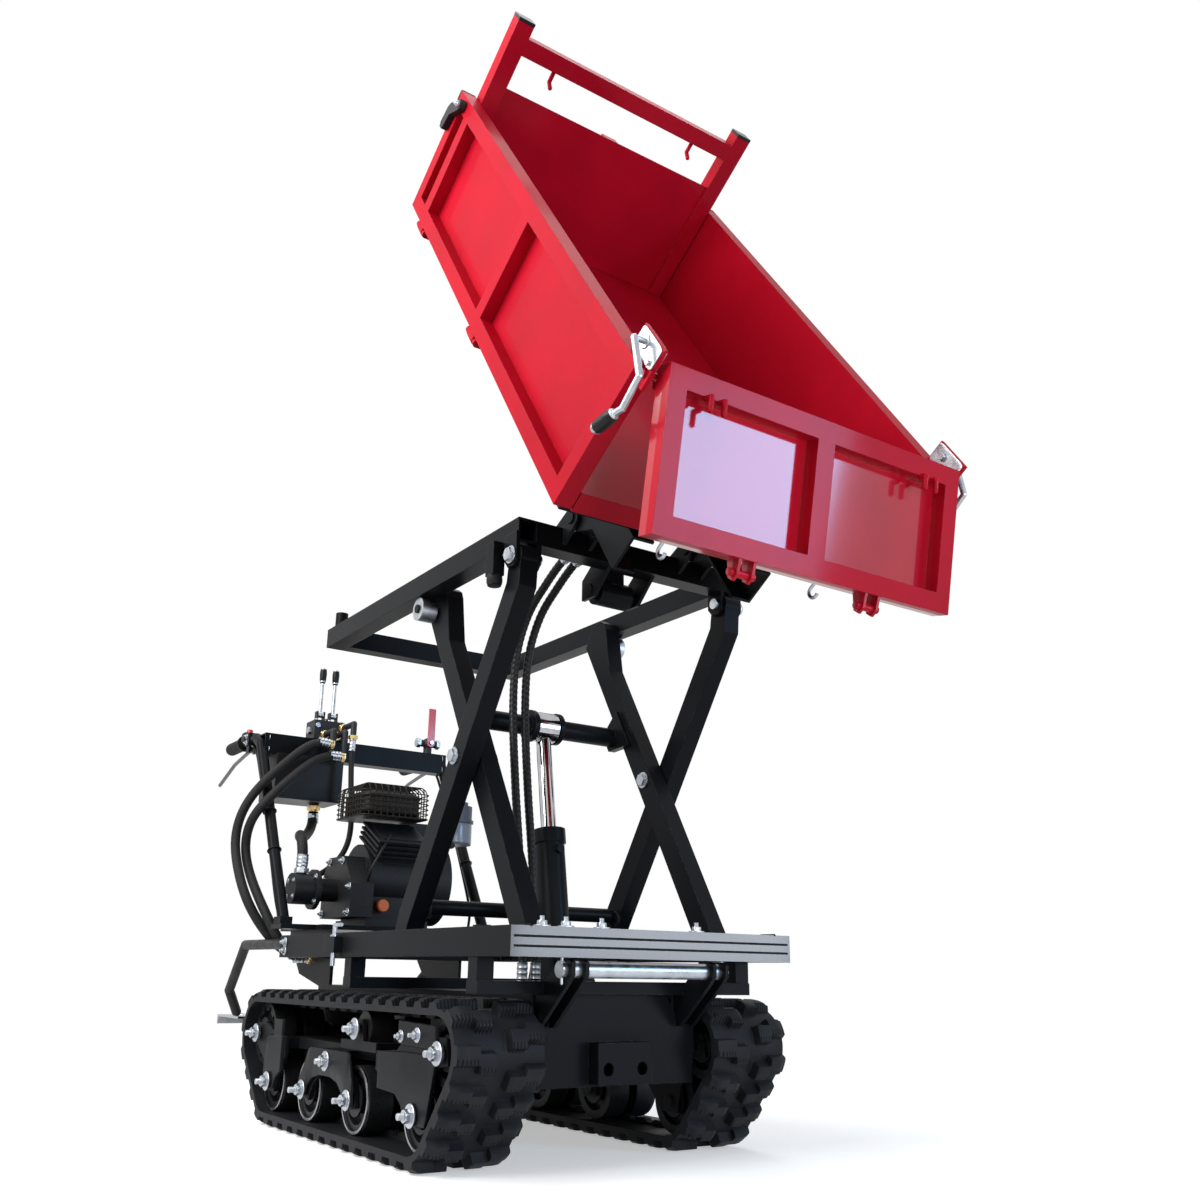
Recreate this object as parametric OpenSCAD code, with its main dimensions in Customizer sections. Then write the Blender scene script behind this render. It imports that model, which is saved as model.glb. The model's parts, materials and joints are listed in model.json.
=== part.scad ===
// Tracked power carrier with a scissor lift and a tipping box.
// Millimetres, +X towards the tipping end, +Y left, +Z up, ground at z = 0.
// The rest pose is the one in the photograph: lift up, box tipped, gate hanging.

/* [Tracks] */
// width of each rubber track
track_width = 180; // [170:2:190]
// distance between the centre lines of the tracks
track_gauge = 572; // [566:2:600]
// rubber lugs round each track
lug_count = 40; // [36:1:44]
// height of a lug above its belt
lug_height = 18; // [12:1:18]

/* [Lift] */
// half length of a scissor arm, from its middle pivot to an end pivot
arm_half = 426; // [415:1:440]
// angle of the arms above level in the rest pose
lift_angle = 59.5; // [55:0.5:61]

/* [Box] */
// length of the load box
box_length = 1232; // [1160:4:1260]
// width of the load box across its side boards
box_width = 758; // [740:2:790]
// height of the side boards
side_height = 293; // [280:1:330]
// angle of the box floor above level in the rest pose
tip_angle = 56; // [50:0.5:58]
// how far the tail gate hangs open from the box in the rest pose
gate_open = 45.5; // [35:0.5:50]

/* [Handle] */
// height of the handle beam above the ground
handle_height = 965; // [950:5:1010]
// reach of the grips behind the handle beam
grip_reach = 270; // [240:5:290]

/* [Hidden] */
$fa = 6;
$fs = 1;
run = 0.05;
gap = 0.4;

// track path: rear sprocket, front idler, front roller, rear roller as x, z, radius
belt_t = 12;
wheels = [[-400, 195, 70], [542, 205, 62], [450, 95, 65], [-300, 95, 65]];
roller_r = 65;
roller_z = belt_t + 18 + roller_r;
bogie_x = 38;
bogie_z = 160;
bogie_half = 122;
carrier_x = 180;
carrier_r = 34;
track_y = track_gauge / 2;
cheek = track_width * 0.37;
cheek_t = 8;
axle_r = 12;
shaft_y = track_y - cheek - cheek_t - 4.5;

// scissor lift, as x and z of the pivots
foot = [594, 395];
arm_dx = arm_half * cos(lift_angle);
arm_dz = arm_half * sin(lift_angle);
mid = [foot.x - arm_dx, foot.y + arm_dz];
top = [foot.x, foot.y + 2 * arm_dz];
foot_rear = [foot.x - 2 * arm_dx, foot.y];
top_rear = [foot.x - 2 * arm_dx, top.y];
arm_w = 50;
arm_in = [197, 237];
arm_out = [arm_in[1] + 4, arm_in[1] + 44];
pin_r = 13;

// lower frame
rail_out = arm_out[1] + 42;
rail_w = 40;
rail_z = [369, 421];
base_x = [-420, 700];

// upper frame, its height follows the arms
deck_x = [-373, 612];
deck_half = arm_out[1] + 5;
deck_w = 45;
deck_z = [top.y + 27, top.y + 76];

// box, drawn level about its tipping pivot and then turned
pivot = [640, top.y + 89];
box_front = 226;
box_rear = box_front - box_length;
box_z = 144;
box_half = box_width / 2;
board_t = 36;
floor_half = box_half - board_t - 2;
board_top = box_z + side_height;
chan_y = [122, 172];
chan_z = [28, 108];
gate_pin = [box_front + 10, board_top - 9];
gate_half = box_half - board_t + 3;
gate_h = side_height - 15;
hinge_y = box_half - 13;
hinge_z = box_z - 12;

// lift cylinder between the arms and the chassis, tip cylinder between upper frame and box
lift_u = 584;
lift_v = -44;
lift_eye = foot + lift_u * [-cos(lift_angle), sin(lift_angle)] + lift_v * [sin(lift_angle), cos(lift_angle)];
lift_base = [345, 345];
tip_base = [522, top.y - 6];
tip_at = [-300, 60];
tip_eye = pivot + [tip_at.x * cos(tip_angle) + tip_at.y * sin(tip_angle),
                   tip_at.y * cos(tip_angle) - tip_at.x * sin(tip_angle)];

// handle, engine and hydraulic set
beam_x = -810;
beam_z = [handle_height - 30, handle_height + 30];
bar_y = 290;
bar_r = 15;
// ends of the hoses on the chassis
pair_end = [[-570, 372], [-603, 380]];
lift_hose_y = [-100, -130];

// Shared shapes

module block(x, y, z) {
  translate([x[0], y[0], z[0]]) cube([x[1] - x[0], y[1] - y[0], z[1] - z[0]]);
}

module yrod(p, r, y) {
  translate([p.x, y[0], p.y]) rotate([-90, 0, 0]) cylinder(r = r, h = y[1] - y[0]);
}

module xrod(y, z, r, x) {
  translate([x[0], y, z]) rotate([0, 90, 0]) cylinder(r = r, h = x[1] - x[0]);
}

module zrod(x, y, r, z) {
  translate([x, y, z[0]]) cylinder(r = r, h = z[1] - z[0]);
}

module both() {
  children();
  mirror([0, 1, 0]) children();
}

// plate in the x, z plane between two values of y
module plate(points, y) {
  translate([0, y[1], 0]) rotate([90, 0, 0]) linear_extrude(height = y[1] - y[0]) polygon(points);
}

// plate in the y, z plane between two values of x
module plate_x(points, x) {
  translate([x[0], 0, 0]) rotate([90, 0, 90]) linear_extrude(height = x[1] - x[0]) polygon(points);
}

// straight bar in the x, z plane from one point to another, with round ends where asked
module bar(p, q, w, y, ends = true) {
  d = q - p;
  translate([p.x, y[0], p.y]) rotate([0, -atan2(d.y, d.x), 0])
    translate([0, 0, -w / 2]) cube([norm(d), y[1] - y[0], w]);
  if (ends) yrod(p, w / 2 + 0.3, y);
  if (ends) yrod(q, w / 2 + 0.3, y);
}

// round rod through a list of points in space, with ball corners
module rod(points, r) {
  for (i = [0 : len(points) - 2]) {
    d = points[i + 1] - points[i];
    translate(points[i]) rotate([0, acos(d.z / norm(d)), atan2(d.y, d.x)]) cylinder(r = r, h = norm(d));
  }
  for (p = points) translate(p) sphere(r = r + 0.08);
}

// hollow square tube along x
module tube_x(x, y, z, t) {
  difference() {
    block(x, y, z);
    block([x[0] - 1, x[1] + 1], [y[0] + t, y[1] - t], [z[0] + t, z[1] - t]);
  }
}

// hexagon head with its washer, axis along y, facing out
module hex_y(p, s, y, side) {
  translate([p.x, y, p.y]) rotate([-90 * side, 0, 0]) cylinder(d = s * 1.15, h = s * 0.42, $fn = 6);
  translate([p.x, y, p.y]) rotate([-90 * side, 0, 0]) cylinder(d = s * 1.5, h = s * 0.12);
}

// Track path: the outside tangents of four wheels, counted by length

function wheel_n(i) = let (a = wheels[i], b = wheels[(i + 1) % 4], d = [b.x - a.x, b.y - a.y])
  atan2(d.y, d.x) + acos((a.z - b.z) / norm(d));
function run_len(i) = let (a = wheels[i], b = wheels[(i + 1) % 4])
  sqrt(pow(b.x - a.x, 2) + pow(b.y - a.y, 2) - pow(a.z - b.z, 2));
function turn(i) = let (t = wheel_n(i) - wheel_n((i + 1) % 4)) t < 0 ? t + 360 : t;
function arc_len(i) = turn(i) * PI / 180 * (wheels[(i + 1) % 4].z + belt_t / 2);
belt_len = run_len(0) + run_len(1) + run_len(2) + run_len(3)
  + arc_len(0) + arc_len(1) + arc_len(2) + arc_len(3);

// point at length s along the path and height t above the wheels
function belt_at(s, t, i = 0) = let (n = wheel_n(i), a = wheels[i], b = wheels[(i + 1) % 4])
  s < run_len(i) ? [a.x, a.y] + (a.z + t) * [cos(n), sin(n)] + s * [sin(n), -cos(n)]
  : s < run_len(i) + arc_len(i)
    ? let (g = n - (s - run_len(i)) / (b.z + belt_t / 2) * 180 / PI)
      [b.x, b.y] + (b.z + t) * [cos(g), sin(g)]
    : belt_at(s - run_len(i) - arc_len(i), t, (i + 1) % 4);

function lug_points(phase) = let (pitch = belt_len / lug_count, h = belt_t + lug_height)
  [for (k = [0 : lug_count - 1]) each let (s = (k + phase) * pitch)
    [belt_at(s, belt_t), belt_at(s + pitch * 0.08, h),
      belt_at(s + pitch * 0.42, h), belt_at(s + pitch * 0.5, belt_t)]];

module belt_core(t, y) {
  for (w = wheels) yrod([w.x, w.y], w.z + t, y);
  plate([for (i = [0 : 3]) each let (n = wheel_n(i), a = wheels[i], b = wheels[(i + 1) % 4])
    [[a.x, a.y] + (a.z + t) * [cos(n), sin(n)], [b.x, b.y] + (b.z + t) * [cos(n), sin(n)]]], y);
}

module track_belt() {
  half = track_width / 2;
  mid_y = 14;
  difference() {
    union() {
      plate(lug_points(0), [-half, -mid_y]);
      belt_core(belt_t + 1, [-mid_y, mid_y]);
      plate(lug_points(0.5), [mid_y, half]);
    }
    belt_core(gap, [-half - 1, -8]);
    belt_core(gap, [8, half + 1]);
    belt_core(-12, [-9, 9]);
  }
}

// Running gear, drawn about the centre line of a track

// wheel with two treads, a groove for the guide ridge and a bore
module tread_wheel(p, r, hub, bore) {
  difference() {
    union() {
      yrod(p, r, [-cheek + 6, -11]);
      yrod(p, r, [11, cheek - 6]);
      yrod(p, hub, [-cheek + 2, cheek - 2]);
    }
    yrod(p, r * 0.72, [cheek - 20, cheek - 2 - 3.9]);
    yrod(p, r * 0.72, [-cheek + 2 + 3.9, -cheek + 20]);
    yrod(p, bore, [-cheek, cheek]);
  }
}

module roller(p, r) {
  tread_wheel(p, r, r * 0.5, axle_r + run);
  difference() {
    yrod(p, r * 0.4, [-cheek + 2, cheek - 2]);
    yrod(p, axle_r + run, [-cheek, cheek]);
  }
}

module bogie_roller(d) roller([bogie_x + d * bogie_half, roller_z], roller_r - gap);

module sprocket() {
  w = wheels[0];
  difference() {
    union() {
      roller([w.x, w.y], w.z - gap);
    }
    for (a = [0 : 36 : 359]) yrod([w.x + 55 * cos(a), w.y + 55 * sin(a)], 7, [-cheek, cheek]);
  }
}

module track_frame() {
  c = [-cheek - cheek_t, -cheek];
  d = [cheek, cheek + cheek_t];
  difference() {
    union() {
      block([-300, 470], [-36, 36], [168, 192]);
      // cross bars carry the cheek plates outside the wheels
      for (x = [-255, 290]) block([x - 20, x + 20], [-cheek - 1, cheek + 1], [168, 192]);
      for (x = [105, 255]) block([x - 8, x + 8], [-cheek - 1, cheek + 1], [192, 206]);
      for (x = [105, 255]) block([x - 8, x + 8], [-30, 30], [190, 206]);
      block([bogie_x - 22, bogie_x + 22], [-58, 58], [bogie_z - 24, 170]);
      // both cheeks: rear bracket, front bracket, carrier bracket
      for (y = [c, d]) {
        plate([[-275, 195], [-222, 195], [-222, 150], [-274, 74], [-326, 74], [-330, 122], [-424, 176],
          [-424, 216], [-366, 222]], y);
        plate([[270, 194], [360, 200], [412, 236], [556, 230], [566, 186], [500, 176], [476, 74], [424, 74],
          [380, 120], [270, 160]], y);
        plate([[94, 189], [266, 189], [266, 207], [203, 207], [196, 248], [164, 248], [157, 207],
          [94, 207]], y);
      }
      for (x = [wheels[0], wheels[1]]) yrod([x.x, x.y], axle_r, [c[0] - 4, d[1] + 4]);
      for (x = [wheels[2], wheels[3]]) yrod([x.x, roller_z], axle_r, [c[0] - 4, d[1] + 4]);
      yrod([carrier_x, wheels[0].y + wheels[0].z - carrier_r - 1], 8, [c[0] - 4, d[1] + 4]);
      yrod([bogie_x, bogie_z], axle_r, [c[0] - 4, d[1] + 4]);
    }
    for (y = [c, d]) block([340, 352], [y[0] - 1, y[1] + 1], [140, 186]);
  }
}

module bogie() {
  a = [bogie_x - bogie_half, roller_z];
  b = [bogie_x + bogie_half, roller_z];
  for (y = [[-cheek - cheek_t, -cheek], [cheek, cheek + cheek_t]]) difference() {
    plate([[a.x - 26, a.y - 14], [a.x - 10, a.y + 40], [bogie_x - 72, 194 - 22], [bogie_x - 58, 204 - 22],
      [bogie_x + 58, 204 - 22], [bogie_x + 72, 194 - 22], [b.x + 10, b.y + 40], [b.x + 26, b.y - 14],
      [b.x - 22, b.y - 20], [b.x - 40, b.y + 12], [bogie_x + 40, 136], [bogie_x - 40, 136],
      [a.x + 40, a.y + 12], [a.x + 22, a.y - 20]], y);
    yrod([bogie_x, bogie_z], axle_r + run, [y[0] - 1, y[1] + 1]);
  }
  for (p = [a, b]) yrod(p, axle_r, [-cheek - cheek_t - 4, cheek + cheek_t + 4]);
  // folded edge over the saddle
  for (y = [[-cheek - 1, -37], [37, cheek + 1]]) block([bogie_x - 57, bogie_x + 57], y, [176, 182]);
}

module side(s) {
  translate([0, s * track_y, 0]) children();
}

// Frames for the moving groups

module boxed() {
  translate([pivot.x, 0, pivot.y]) rotate([0, tip_angle, 0]) children();
}

module gated() {
  boxed() translate([gate_pin.x, 0, gate_pin.y]) rotate([0, -gate_open, 0]) children();
}

// z axis from one x, z point towards another
module along(p, q) {
  translate([p.x, 0, p.y]) rotate([0, atan2(q.x - p.x, q.y - p.y), 0]) children();
}

function inner_at(u, v) = foot + u * [-cos(lift_angle), sin(lift_angle)]
  + v * [sin(lift_angle), cos(lift_angle)];
function outer_at(u, v) = foot_rear + u * [cos(lift_angle), sin(lift_angle)]
  + v * [sin(lift_angle), -cos(lift_angle)];

// Hose: rings along a smooth curve through hand-chosen points

function curve(p, i, t) = let (n = len(p) - 1, a = p[max(i - 1, 0)], b = p[i], c = p[i + 1])
  let (d = p[min(i + 2, n)])
  0.5 * (2 * b + (c - a) * t + (2 * a - 5 * b + 4 * c - d) * t * t + (3 * b - a - 3 * c + d) * t * t * t);
function unit(v) = v / norm(v);
function route(p, n) =
  concat([for (i = [0 : len(p) - 2], j = [0 : n - 1]) curve(p, i, j / n)], [p[len(p) - 1]]);

module hose(points, r, steps = 5, sides = 10, ref = [0.1, 1, 0.2]) {
  c = route(points, steps);
  m = len(c);
  t = [for (i = [0 : m - 1]) unit(c[min(i + 1, m - 1)] - c[max(i - 1, 0)])];
  ring = [for (i = [0 : m - 1], k = [0 : sides - 1])
    let (u = unit(cross(t[i], ref)), v = cross(t[i], u), a = 360 * k / sides)
    c[i] + r * (cos(a) * u + sin(a) * v)];
  skin = [for (i = [0 : m - 2], k = [0 : sides - 1])
    each let (a = i * sides + k, b = i * sides + (k + 1) % sides)
    [[a, a + sides, b + sides], [a, b + sides, b]]];
  ends = [[for (k = [0 : sides - 1]) k], [for (k = [sides - 1 : -1 : 0]) (m - 1) * sides + k]];
  polyhedron(points = ring, faces = concat(skin, ends));
}

// Undercarriage nodes

module chassis_frame() color("#1c1e22") {
  hub_y = track_y - cheek - cheek_t - 0.3;
  difference() {
    both() tube_x([-490, 550], [140, 186], [190, 305], 6);
    yrod([wheels[0].x, wheels[0].y], 20, [-200, 200]);
  }
  difference() {
    block([550, 557], [-190, 190], [196, 306]);
    both() plate_x([[119, 307], [207, 307], [173, 248], [157, 248]], [540, 560]);
  }
  block([520, 557], [-186, 186], [140, 198]);
  block([-496, -490], [-186, 186], [190, 305]);
  block([-490, 550], [-141, 141], [299, 305]);
  // bars under the chassis reach into both track frames
  for (x = [-255, 290]) block([x - 19, x + 19], [-hub_y, hub_y], [168, 191]);
  // outriggers and posts carry the lower frame above the tracks
  for (x = [0, 562]) {
    block([x - 20, x + 20], [-rail_out + 4, rail_out - 4], [304.5, 328]);
    both() block([x - 17, x + 17], [rail_out - 38, rail_out - 4], [327, rail_z[0]]);
  }
  // hitch box with two pin bores
  difference() {
    block([556, 590], [-62, 62], [145, 219]);
    for (y = [-39, 39]) xrod(y, 172, 12, [550, 600]);
    block([556, 582], [-56, 56], [151, 213]);
  }
  // gussets for the cross tube
  difference() {
    both() for (y = [[144, 152], [174, 182]])
      plate([[500, 302], [500, 246], [572, 246], [664, 326], [676, 340], [676, 362], [664, 367], [632, 367],
        [590, 328], [556, 306]], y);
    yrod([650, 349], 15.2, [-200, 200]);
  }
  // base of the lift cylinder
  both() plate([[290, 304], [400, 304], [378, 374], [312, 374]], [34, 42]);
  // engine deck and its legs
  block([-730, -425], [-215, 215], [440, 452]);
  both() plate([[-730, 441], [-425, 441], [-425, 300], [-490, 200], [-490, 300], [-640, 330], [-730, 420]],
    [178, 186]);
  both() block([-545, -470], [200, 308], [440, 452]);
  // fittings of the hose pair on the near leg, and of the lift hoses on the chassis
  for (p = pair_end) yrod(p, 12, [-199.4, -185]);
  for (y = lift_hose_y) zrod(mid.x + 42, y, 11, [304.5, 330.6]);
}

module track_frame_left() color("#202226") side(1) track_frame();
module track_frame_right() color("#202226") side(-1) track_frame();
module track_belt_left() color("#151515") side(1) track_belt();
module track_belt_right() color("#151515") side(-1) track_belt();
module drive_sprocket_left() color("#2a2a2c") side(1) sprocket();
module drive_sprocket_right() color("#2a2a2c") side(-1) sprocket();
module front_idler_left() color("#2a2a2c") side(1) roller([wheels[1].x, wheels[1].y], wheels[1].z - gap);
module front_idler_right() color("#2a2a2c") side(-1) roller([wheels[1].x, wheels[1].y], wheels[1].z - gap);
module bogie_left() color("#202226") side(1) bogie();
module bogie_right() color("#202226") side(-1) bogie();
module bogie_roller_left_front() color("#2a2a2c") side(1) bogie_roller(1);
module bogie_roller_left_rear() color("#2a2a2c") side(1) bogie_roller(-1);
module bogie_roller_right_front() color("#2a2a2c") side(-1) bogie_roller(1);
module bogie_roller_right_rear() color("#2a2a2c") side(-1) bogie_roller(-1);
module front_roller_left() color("#2a2a2c") side(1) roller([wheels[2].x, roller_z], roller_r - gap);
module front_roller_right() color("#2a2a2c") side(-1) roller([wheels[2].x, roller_z], roller_r - gap);
module rear_roller_left() color("#2a2a2c") side(1) roller([wheels[3].x, roller_z], roller_r - gap);
module rear_roller_right() color("#2a2a2c") side(-1) roller([wheels[3].x, roller_z], roller_r - gap);

module carrier() {
  p = [carrier_x, wheels[0].y + wheels[0].z - carrier_r - 1];
  difference() {
    union() {
      yrod(p, carrier_r, [-cheek + 4, -11]);
      yrod(p, carrier_r, [11, cheek - 4]);
      yrod(p, 17, [-12, 12]);
    }
    yrod(p, 8 + run, [-cheek, cheek]);
  }
}

module carrier_rollers() color("#2a2a2c") both() side(1) carrier();

// drive between the chassis tubes, with a shaft out to each track
module gearbox() color("#303236") {
  yrod([wheels[0].x, wheels[0].y + 20], 82, [-118, 118]);
  block([-470, -340], [-96, 96], [140, 292]);
  both() yrod([wheels[0].x, wheels[0].y], 34, [110, 134]);
  yrod([wheels[0].x, wheels[0].y], 14, [-shaft_y, shaft_y]);
}

module undercarriage_bolts() color("#b9bcc0") both() {
  y = track_y + cheek + cheek_t + 4;
  for (w = [wheels[0], wheels[1]]) hex_y([w.x, w.y], 22, y, 1);
  for (w = [wheels[2], wheels[3]]) hex_y([w.x, roller_z], 22, y, 1);
  hex_y([bogie_x, bogie_z], 22, y, 1);
  hex_y([carrier_x, wheels[0].y + wheels[0].z - carrier_r - 1], 16, y, 1);
}

// Lower frame nodes

module base_frame() color("#1a1c20") {
  tall = rail_z[1] - rail_z[0];
  difference() {
    union() {
      both() difference() {
        block(base_x, [rail_out - rail_w, rail_out], rail_z);
        block([base_x[0] + 40, base_x[1] - 40], [rail_out - rail_w - 1, rail_out - 5],
          [rail_z[0] + 5, rail_z[1] - 5]);
      }
      for (x = [[base_x[0], base_x[0] + 40], [base_x[1] - 40, base_x[1]]]) difference() {
        block(x, [-rail_out + rail_w - 1, rail_out - rail_w + 1], rail_z);
        block([x[0] + 4, x[1] - 4], [-rail_out, rail_out], [rail_z[0] + 4, rail_z[1] - 4]);
      }
    }
    // rolled grooves along the front face
    for (f = [0.30, 0.62])
      block([base_x[1] - 1.6, base_x[1] + 1], [-rail_out + 6, rail_out - 6],
        [rail_z[0] + f * tall, rail_z[0] + (f + 0.08) * tall]);
  }
  yrod(foot, pin_r, [-rail_out + 4, rail_out - 4]);
  // guide for the lock pin on the near rail
  difference() {
    block([-78, -22], [-rail_out - 22, -rail_out + 1], [378, 412]);
    zrod(-50, -rail_out - 11, 5 + run, [370, 420]);
  }
}

module pivot_tube() color("#c4c7cb") {
  yrod([650, 349], 15, [-192, 192]);
  both() rod([[650, 186, 325], [650, 186, 374]], 3);
}

module lock_pin() color("#c4c7cb") {
  zrod(-50, -rail_out - 11, 5, [350, 440]);
  xrod(-rail_out - 11, 437, 4.4, [-50, -14]);
  zrod(-50, -rail_out - 11, 9, [412.3, 416]);
}

// Scissor lift nodes

// side outlines of the arms, measured along and across the line between their end pivots
arm_len = 2 * arm_half;
inner_side = [[0, -25], [arm_len + 8, -25], [arm_len + 32, 16], [arm_len + 28, 56], [arm_len + 10, 66],
  [arm_len - 8, 64], [arm_len - 110, 25], [0, 25]];
outer_side = [[0, -25], [60, -33], [arm_len - 56, -2], [arm_len - 8, -22], [arm_len + 10, 20],
  [arm_len - 46, 48], [60, 17], [0, 25]];

module inner_arms() color("#17191d") {
  both() difference() {
    union() {
      plate([for (p = inner_side) inner_at(p.x, p.y)], arm_in);
      yrod(foot, arm_w / 2 + 0.4, arm_in);
      plate([for (p = [[-60, 6], [40, 6], [24, -66], [-24, -66]]) inner_at(lift_u + p.x, p.y)],
        [arm_in[0] - 10, arm_in[0] + 8]);
      yrod(top_rear, 10, [arm_in[0] + 1, arm_out[1] + 3]);
    }
    yrod(foot, pin_r + run, [arm_in[0] - 1, arm_in[1] + 1]);
    yrod(mid, 12 + run, [arm_in[0] - 1, arm_in[1] + 1]);
  }
  yrod(lift_eye, 22, [-arm_in[0] - 1, arm_in[0] + 1]);
  both() yrod(lift_eye, 36, [29, 39]);
}

module outer_arms() color("#17191d") {
  both() difference() {
    union() {
      plate([for (p = outer_side) outer_at(p.x, p.y)], arm_out);
      yrod(foot_rear, arm_w / 2 + 0.4, arm_out);
      yrod(top, arm_w / 2 - 0.4, arm_out);
      yrod(foot_rear, 10, [arm_out[0] + 1, rail_out - 8]);
    }
    yrod(mid, 12.1, [arm_out[0] - 1, arm_out[1] + 1]);
    yrod(top, 12.1, [arm_out[0] - 1, arm_out[1] + 1]);
  }
  yrod(outer_at(84, -8), 16, [-arm_out[0] - 1, arm_out[0] + 1]);
}

module lower_slide_rollers() color("#8e9296") both() difference() {
  yrod(foot_rear, 20.6, [rail_out - rail_w + 1, rail_out - 10]);
  yrod(foot_rear, 10 + run, [rail_out - rail_w, rail_out - 5]);
}

module upper_slide_rollers() color("#8e9296") both() difference() {
  yrod(top_rear, 26.6, [arm_out[0] + 2, arm_out[1] - 1]);
  yrod(top_rear, 10 + run, [arm_out[0], arm_out[1]]);
}

module scissor_pins() color("#b9bcc0") both() {
  yrod(mid, 12, [arm_in[0] - 8, arm_out[1] + 6]);
  hex_y(mid, 24, arm_out[1] + 0.5, 1);
  hex_y(mid, 24, arm_in[0] - 0.5, -1);
  yrod(top, 12, [arm_in[1] - 12, arm_out[1] + 16]);
  hex_y(top, 24, arm_out[1] + 10, 1);
}

module upper_frame() color("#17191d") {
  both() tube_x(deck_x, [deck_half - deck_w, deck_half], deck_z, 4);
  for (x = [[deck_x[0], deck_x[0] + 45], [deck_x[1] - 45, deck_x[1]]]) difference() {
    block(x, [-deck_half + deck_w - 1, deck_half - deck_w + 1], deck_z);
    block([x[0] + 4, x[1] - 4], [-deck_half, deck_half], [deck_z[0] + 4, deck_z[1] - 4]);
  }
  // lugs for the arm pivots, one each side of an outer arm
  both() for (y = [[arm_out[0] - 9, arm_out[0] - 0.5], [arm_out[1] + 1, arm_out[1] + 9]]) difference() {
    plate([[top.x - 26, deck_z[0] + 20], [top.x + 18, deck_z[0] + 20], [top.x + 18, top.y - 12],
      [top.x + 8, top.y - 24], [top.x - 12, top.y - 24], [top.x - 26, top.y - 8]], y);
    yrod(top, 12 + run, [y[0] - 1, y[1] + 1]);
  }
  // rubber bumpers on brackets, rest posts at the rear corners
  both() block([528, 558], [deck_half - 2, deck_half + 24], [top.y - 32, deck_z[0] + 10]);
  both() zrod(543, deck_half + 11, 14, [top.y - 52, top.y - 30]);
  both() zrod(deck_x[0] + 34, deck_half - 23, 16, [deck_z[1] - 1, pivot.y + chan_z[0] - 0.6]);
  // base of the tip cylinder
  both() plate([[tip_base.x - 22, tip_base.y - 20], [tip_base.x + 22, tip_base.y - 20],
    [deck_x[1] - 8, deck_z[0] + 4], [deck_x[1] - 8, deck_z[1] - 8], [deck_x[1] - 47, deck_z[1] - 8],
    [tip_base.x - 22, tip_base.y + 24]], [52, 60]);
  yrod(tip_base, 16, [-62, 62]);
  // hinge brackets of the box
  both() for (y = [[112, 120.5], [173.5, 182]]) difference() {
    plate([[deck_x[1] - 40, deck_z[1] - 6], [deck_x[1] - 4, deck_z[0] + 12], [pivot.x + 6, pivot.y - 24],
      [pivot.x + 22, pivot.y - 10], [pivot.x + 22, pivot.y + 12], [pivot.x + 8, pivot.y + 22],
      [pivot.x - 16, pivot.y + 20], [deck_x[1] - 40, deck_z[1] + 6]], y);
    yrod(pivot, 12 + run, [y[0] - 1, y[1] + 1]);
  }
}

// Hydraulic cylinders: the rod slides in the barrel

lift_len = norm(lift_base - lift_eye);
tip_len = norm(tip_base - tip_eye);

// barrel with its base cap and gland, drawn up from the base eye
module barrel(len, r, rod_r, cap, gland) {
  difference() {
    union() {
      translate([0, 0, 16]) cylinder(r = r, h = len - 16);
      translate([0, 0, len - 30]) cylinder(r = r + 4, h = 30);
    }
    translate([0, 0, cap]) cylinder(r = r - 6, h = len - cap - gland);
    translate([0, 0, len - gland - 1]) cylinder(r = rod_r + run, h = gland + 2);
  }
  for (z = [60, len - 50]) translate([r - 4, 0, z]) rotate([0, 90, 0]) cylinder(r = 9, h = 16);
}

// rod with its piston at the far end, drawn from the rod eye
module ram(len, rod_r, bore) {
  translate([0, 0, 28]) cylinder(r = rod_r, h = len - 28);
  translate([0, 0, len - 14]) cylinder(r = bore - 0.1, h = 14);
}

module lift_barrel() color("#101114") {
  along(lift_base, lift_eye) barrel(300, 32, 17, 40, 28);
  yrod(lift_base, 26, [-24, 24]);
  yrod(lift_base, 12, [-31, 31]);
}

module lift_rod() color("#d6d9dc") difference() {
  union() {
    along(lift_eye, lift_base) ram(lift_len - 242, 17, 26);
    yrod(lift_eye, 34, [-26, 26]);
  }
  yrod(lift_eye, 22 + run, [-30, 30]);
}

module tip_barrel() color("#101114") difference() {
  union() {
    along(tip_base, tip_eye) barrel(204, 28, 14, 29, 18);
    yrod(tip_base, 28, [-40, 40]);
  }
  yrod(tip_base, 16 + run, [-50, 50]);
}

module tip_rod() color("#d6d9dc") difference() {
  union() {
    along(tip_eye, tip_base) ram(tip_len - 171.5, 14, 22);
    yrod(tip_eye, 34, [-18, 18]);
  }
  yrod(tip_eye, 25, [-30, 30]);
}

// Box nodes

rib_x = [box_front - 0.5 * box_length, box_front - 0.92 * box_length];

module box_subframe() color("#17191d") boxed() {
  both() difference() {
    block([box_rear + 24, box_front - 34], chan_y, chan_z);
    block([box_rear + 20, box_front - 30], [chan_y[0] - 1, chan_y[1] - 6], [chan_z[0] + 6, chan_z[1] - 6]);
  }
  for (x = [box_rear + 150, box_rear + 420, -180, 120])
    block([x, x + 46], [-floor_half + 14, floor_half - 14], [chan_z[1] - 1, box_z - 0.5]);
  both() difference() {
    plate([[-70, chan_z[0] + 1], [70, chan_z[0] + 1], [24, -14], [-24, -14]], chan_y);
    yrod([0, 0], 11, [chan_y[0] + 8, chan_y[1] - 8]);
  }
  both() yrod([0, 0], 12, [108, 186]);
  yrod(tip_at, 10, [-chan_y[0] - 46, chan_y[0] + 46]);
}

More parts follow.
